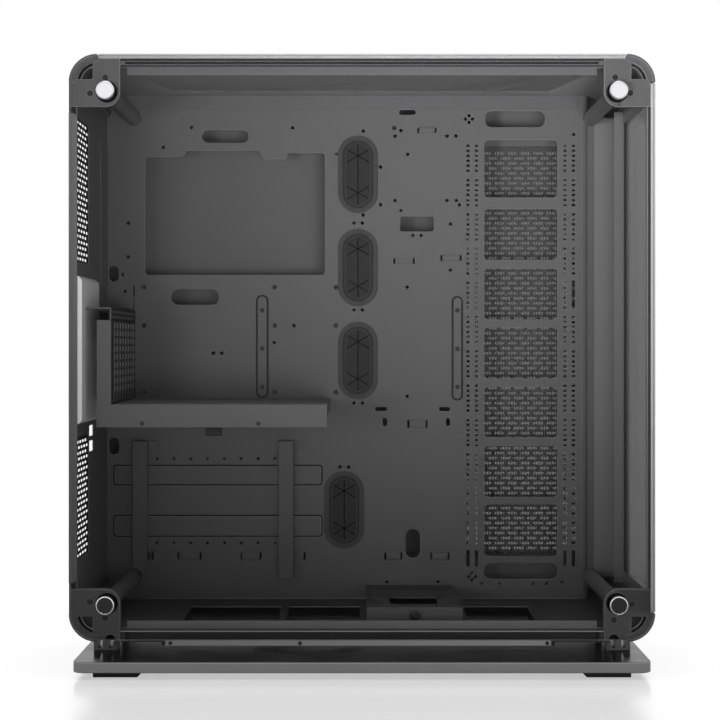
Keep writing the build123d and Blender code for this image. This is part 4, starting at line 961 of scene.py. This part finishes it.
# The dust filter's front faces get the light coat, a painted highlight
light_and_shade_by_facing(soften("dust_filter", 0.4, FILTER_PLASTIC, "filter"), 1, -1, FRONT_HIGHLIGHT)
soften("power_button", 0.6, BUTTON_PLASTIC, "power_button")
soften("reset_button", 0.3, BUTTON_PLASTIC, "reset_button")


# Painted highlight along the bottom rail's edge, and the filter's front lip in the same light coat

FILTER_LIP_Y = FACE_Y - 1.5
FILTER_LIP_SIDES = (-208.0, 200.0, 33.9, 40.0)
RAIL_EDGE_SIDES = (-255.5, 255.5, 48.4, 49.5)
sheet("rail_edge", [frame_box(*RAIL_EDGE_SIDES)], "facing", FACE_Y - 0.2, FACE_Y, FRONT_HIGHLIGHT)
sheet("filter_lip", [frame_box(*FILTER_LIP_SIDES)], "facing", FILTER_LIP_Y, FACE_Y, FRONT_HIGHLIGHT, 0.4,
      "filter")


# Thumb screws, and the small heads on the shelf and the filter

COVER_SCREW_PROFILE = [(BACK_Y, 0), (BACK_Y, 4.5), (BACK_Y + 2.4, 4.5), (BACK_Y + 3.0, 3.9),
                       (BACK_Y + 3.0, 1.6), (BACK_Y + 1.8, 1.2), (BACK_Y + 1.8, 0)]
DRIVE_SCREW_PROFILE = [(-77.0, 0), (-77.0, 4.2), (-78.5, 4.2), (-78.8, 5.3), (-79.2, 5.5), (-83.4, 5.5),
                       (-84.0, 5.0), (-84.0, 2.2), (-83.0, 1.8), (-83.0, 0)]
DRIVE_SCREW_PLACE = (57.0, 59.25)
COVER_SCREW_X = (-299.0, 299.0)
COVER_SCREW_Z = (48.9, 648.6)


def cover_screws():
    """Thumb screws at the right cover's corners."""
    builder = bmesh.new()
    for x in COVER_SCREW_X:
        for z in COVER_SCREW_Z:
            turned(builder, COVER_SCREW_PROFILE, x, z, 32)
    return finish_mesh("cover_screws", builder, SMALL_SCREW)


cover_screws()


def drive_screw():
    """Thumb screw of the drive bracket."""
    builder = bmesh.new()
    turned(builder, DRIVE_SCREW_PROFILE, *DRIVE_SCREW_PLACE, 40)
    piece = finish_mesh("drive_screw", builder, SMALL_SCREW)
    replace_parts(piece, "drive_thumb_screw")


drive_screw()
shelf_screws = [(-235.5, -97.0, 268.0), (-111.0, -97.0, 268.0)]
filter_screws = [(x, FILTER_LIP_Y, 36.6) for x in (-202.6, -65.6, 195.7)]
screw_heads("shelf_screws", shelf_screws, 2.4, SMALL_SCREW)
screw_heads("filter_screws", filter_screws, 2.1, BLACK_PLASTIC, 0.5, body="filter")


# Floor, light and camera

FLOOR_LIFT = 0.5
FLOOR_HALF = 6.0
WORLD_LEVEL = 0.2
# Each lamp's name, place, target, size, power, spread in degrees, and whether it shows in reflections.
# Lamps and floor are in metres.
LAMPS = (("key", (0.3, -1.4, 0.15), (0.15, 0.0, 0.80), 0.7, 2.9, 60.0, False),
         ("fill", (-0.6, -1.4, 0.35), (0.25, 0.0, 0.72), 0.4, 1.35, 50.0, False),
         ("top", (0.0, 0.0, 3.0), (0.0, 0.0, 0.0), 2.6, 42.0, 180.0, True))
SENSOR_MM = 36.0


def studio_floor():
    """Pale floor, white to the camera, that keeps the shadow and a soft reflection."""
    material, nodes, links, shader = new_material("studio_floor")
    cloud = noise(nodes, links, 3.0, 2.0)
    links.new(tint(nodes, links, cloud.outputs["Fac"], (0.60, 0.60, 0.60), 0.01), shader.inputs["Base Color"])
    shader.inputs["Roughness"].default_value = 0.2
    shader.inputs["Emission Color"].default_value = (1.0, 1.0, 1.0, 1.0)
    path = nodes.new("ShaderNodeLightPath")
    lift = nodes.new("ShaderNodeMath")
    lift.operation = "MULTIPLY"
    lift.inputs[1].default_value = FLOOR_LIFT
    links.new(path.outputs["Is Camera Ray"], lift.inputs[0])
    links.new(lift.outputs["Value"], shader.inputs["Emission Strength"])
    builder = bmesh.new()
    bmesh.ops.create_grid(builder, x_segments=8, y_segments=8, size=FLOOR_HALF)
    mesh = bpy.data.meshes.new("studio_floor")
    builder.to_mesh(mesh)
    builder.free()
    mesh.materials.append(material)
    floor = bpy.data.objects.new("studio_floor", mesh)
    bpy.context.scene.collection.objects.link(floor)


def studio_world():
    """White to the camera, in reflections and through glass, and plain soft light otherwise."""
    world = bpy.data.worlds.new("studio")
    world.use_nodes = True
    nodes = world.node_tree.nodes
    links = world.node_tree.links
    backdrop = nodes["Background"]
    backdrop.inputs["Color"].default_value = (1.0, 1.0, 1.0, 1.0)
    path = nodes.new("ShaderNodeLightPath")
    either = nodes.new("ShaderNodeMath")
    either.operation = "MAXIMUM"
    links.new(path.outputs["Is Camera Ray"], either.inputs[0])
    links.new(path.outputs["Is Transmission Ray"], either.inputs[1])
    any_of = nodes.new("ShaderNodeMath")
    any_of.operation = "MAXIMUM"
    links.new(either.outputs["Value"], any_of.inputs[0])
    links.new(path.outputs["Is Glossy Ray"], any_of.inputs[1])
    strength = nodes.new("ShaderNodeMapRange")
    strength.inputs["To Min"].default_value = WORLD_LEVEL
    strength.inputs["To Max"].default_value = 1.0
    links.new(any_of.outputs["Value"], strength.inputs["Value"])
    links.new(strength.outputs["Result"], backdrop.inputs["Strength"])
    bpy.context.scene.world = world


def area_light(name, place, target, size, power, spread_angle, reflected):
    """Round soft lamp that points at its target."""
    light = bpy.data.lights.new(name, "AREA")
    light.shape = "DISK"
    light.size = size
    light.energy = power
    light.spread = math.radians(spread_angle)
    lamp = bpy.data.objects.new(name, light)
    lamp.location = place
    lamp.rotation_euler = (Vector(target) - Vector(place)).to_track_quat("-Z", "Y").to_euler()
    bpy.context.scene.collection.objects.link(lamp)
    lamp.visible_glossy = reflected


def camera():
    """Camera at the photo's place, level and square to the case."""
    data = bpy.data.cameras.new("camera")
    data.sensor_fit = "HORIZONTAL"
    data.sensor_width = SENSOR_MM
    data.lens = SENSOR_MM * FOCAL_PX / IMAGE_PX
    data.shift_x = (IMAGE_PX / 2 - CENTRE_PX[0]) / IMAGE_PX
    data.shift_y = (CENTRE_PX[1] - IMAGE_PX / 2) / IMAGE_PX
    data.clip_end = 50.0
    viewer = bpy.data.objects.new("camera", data)
    viewer.location = (0.0, CAMERA_Y * MM, CAMERA_Z * MM)
    viewer.rotation_euler = (math.radians(90), 0.0, 0.0)
    bpy.context.scene.collection.objects.link(viewer)
    bpy.context.scene.camera = viewer


studio_floor()
studio_world()
for lamp_values in LAMPS:
    area_light(*lamp_values)
camera()
bpy.context.scene.view_settings.view_transform = "Standard"
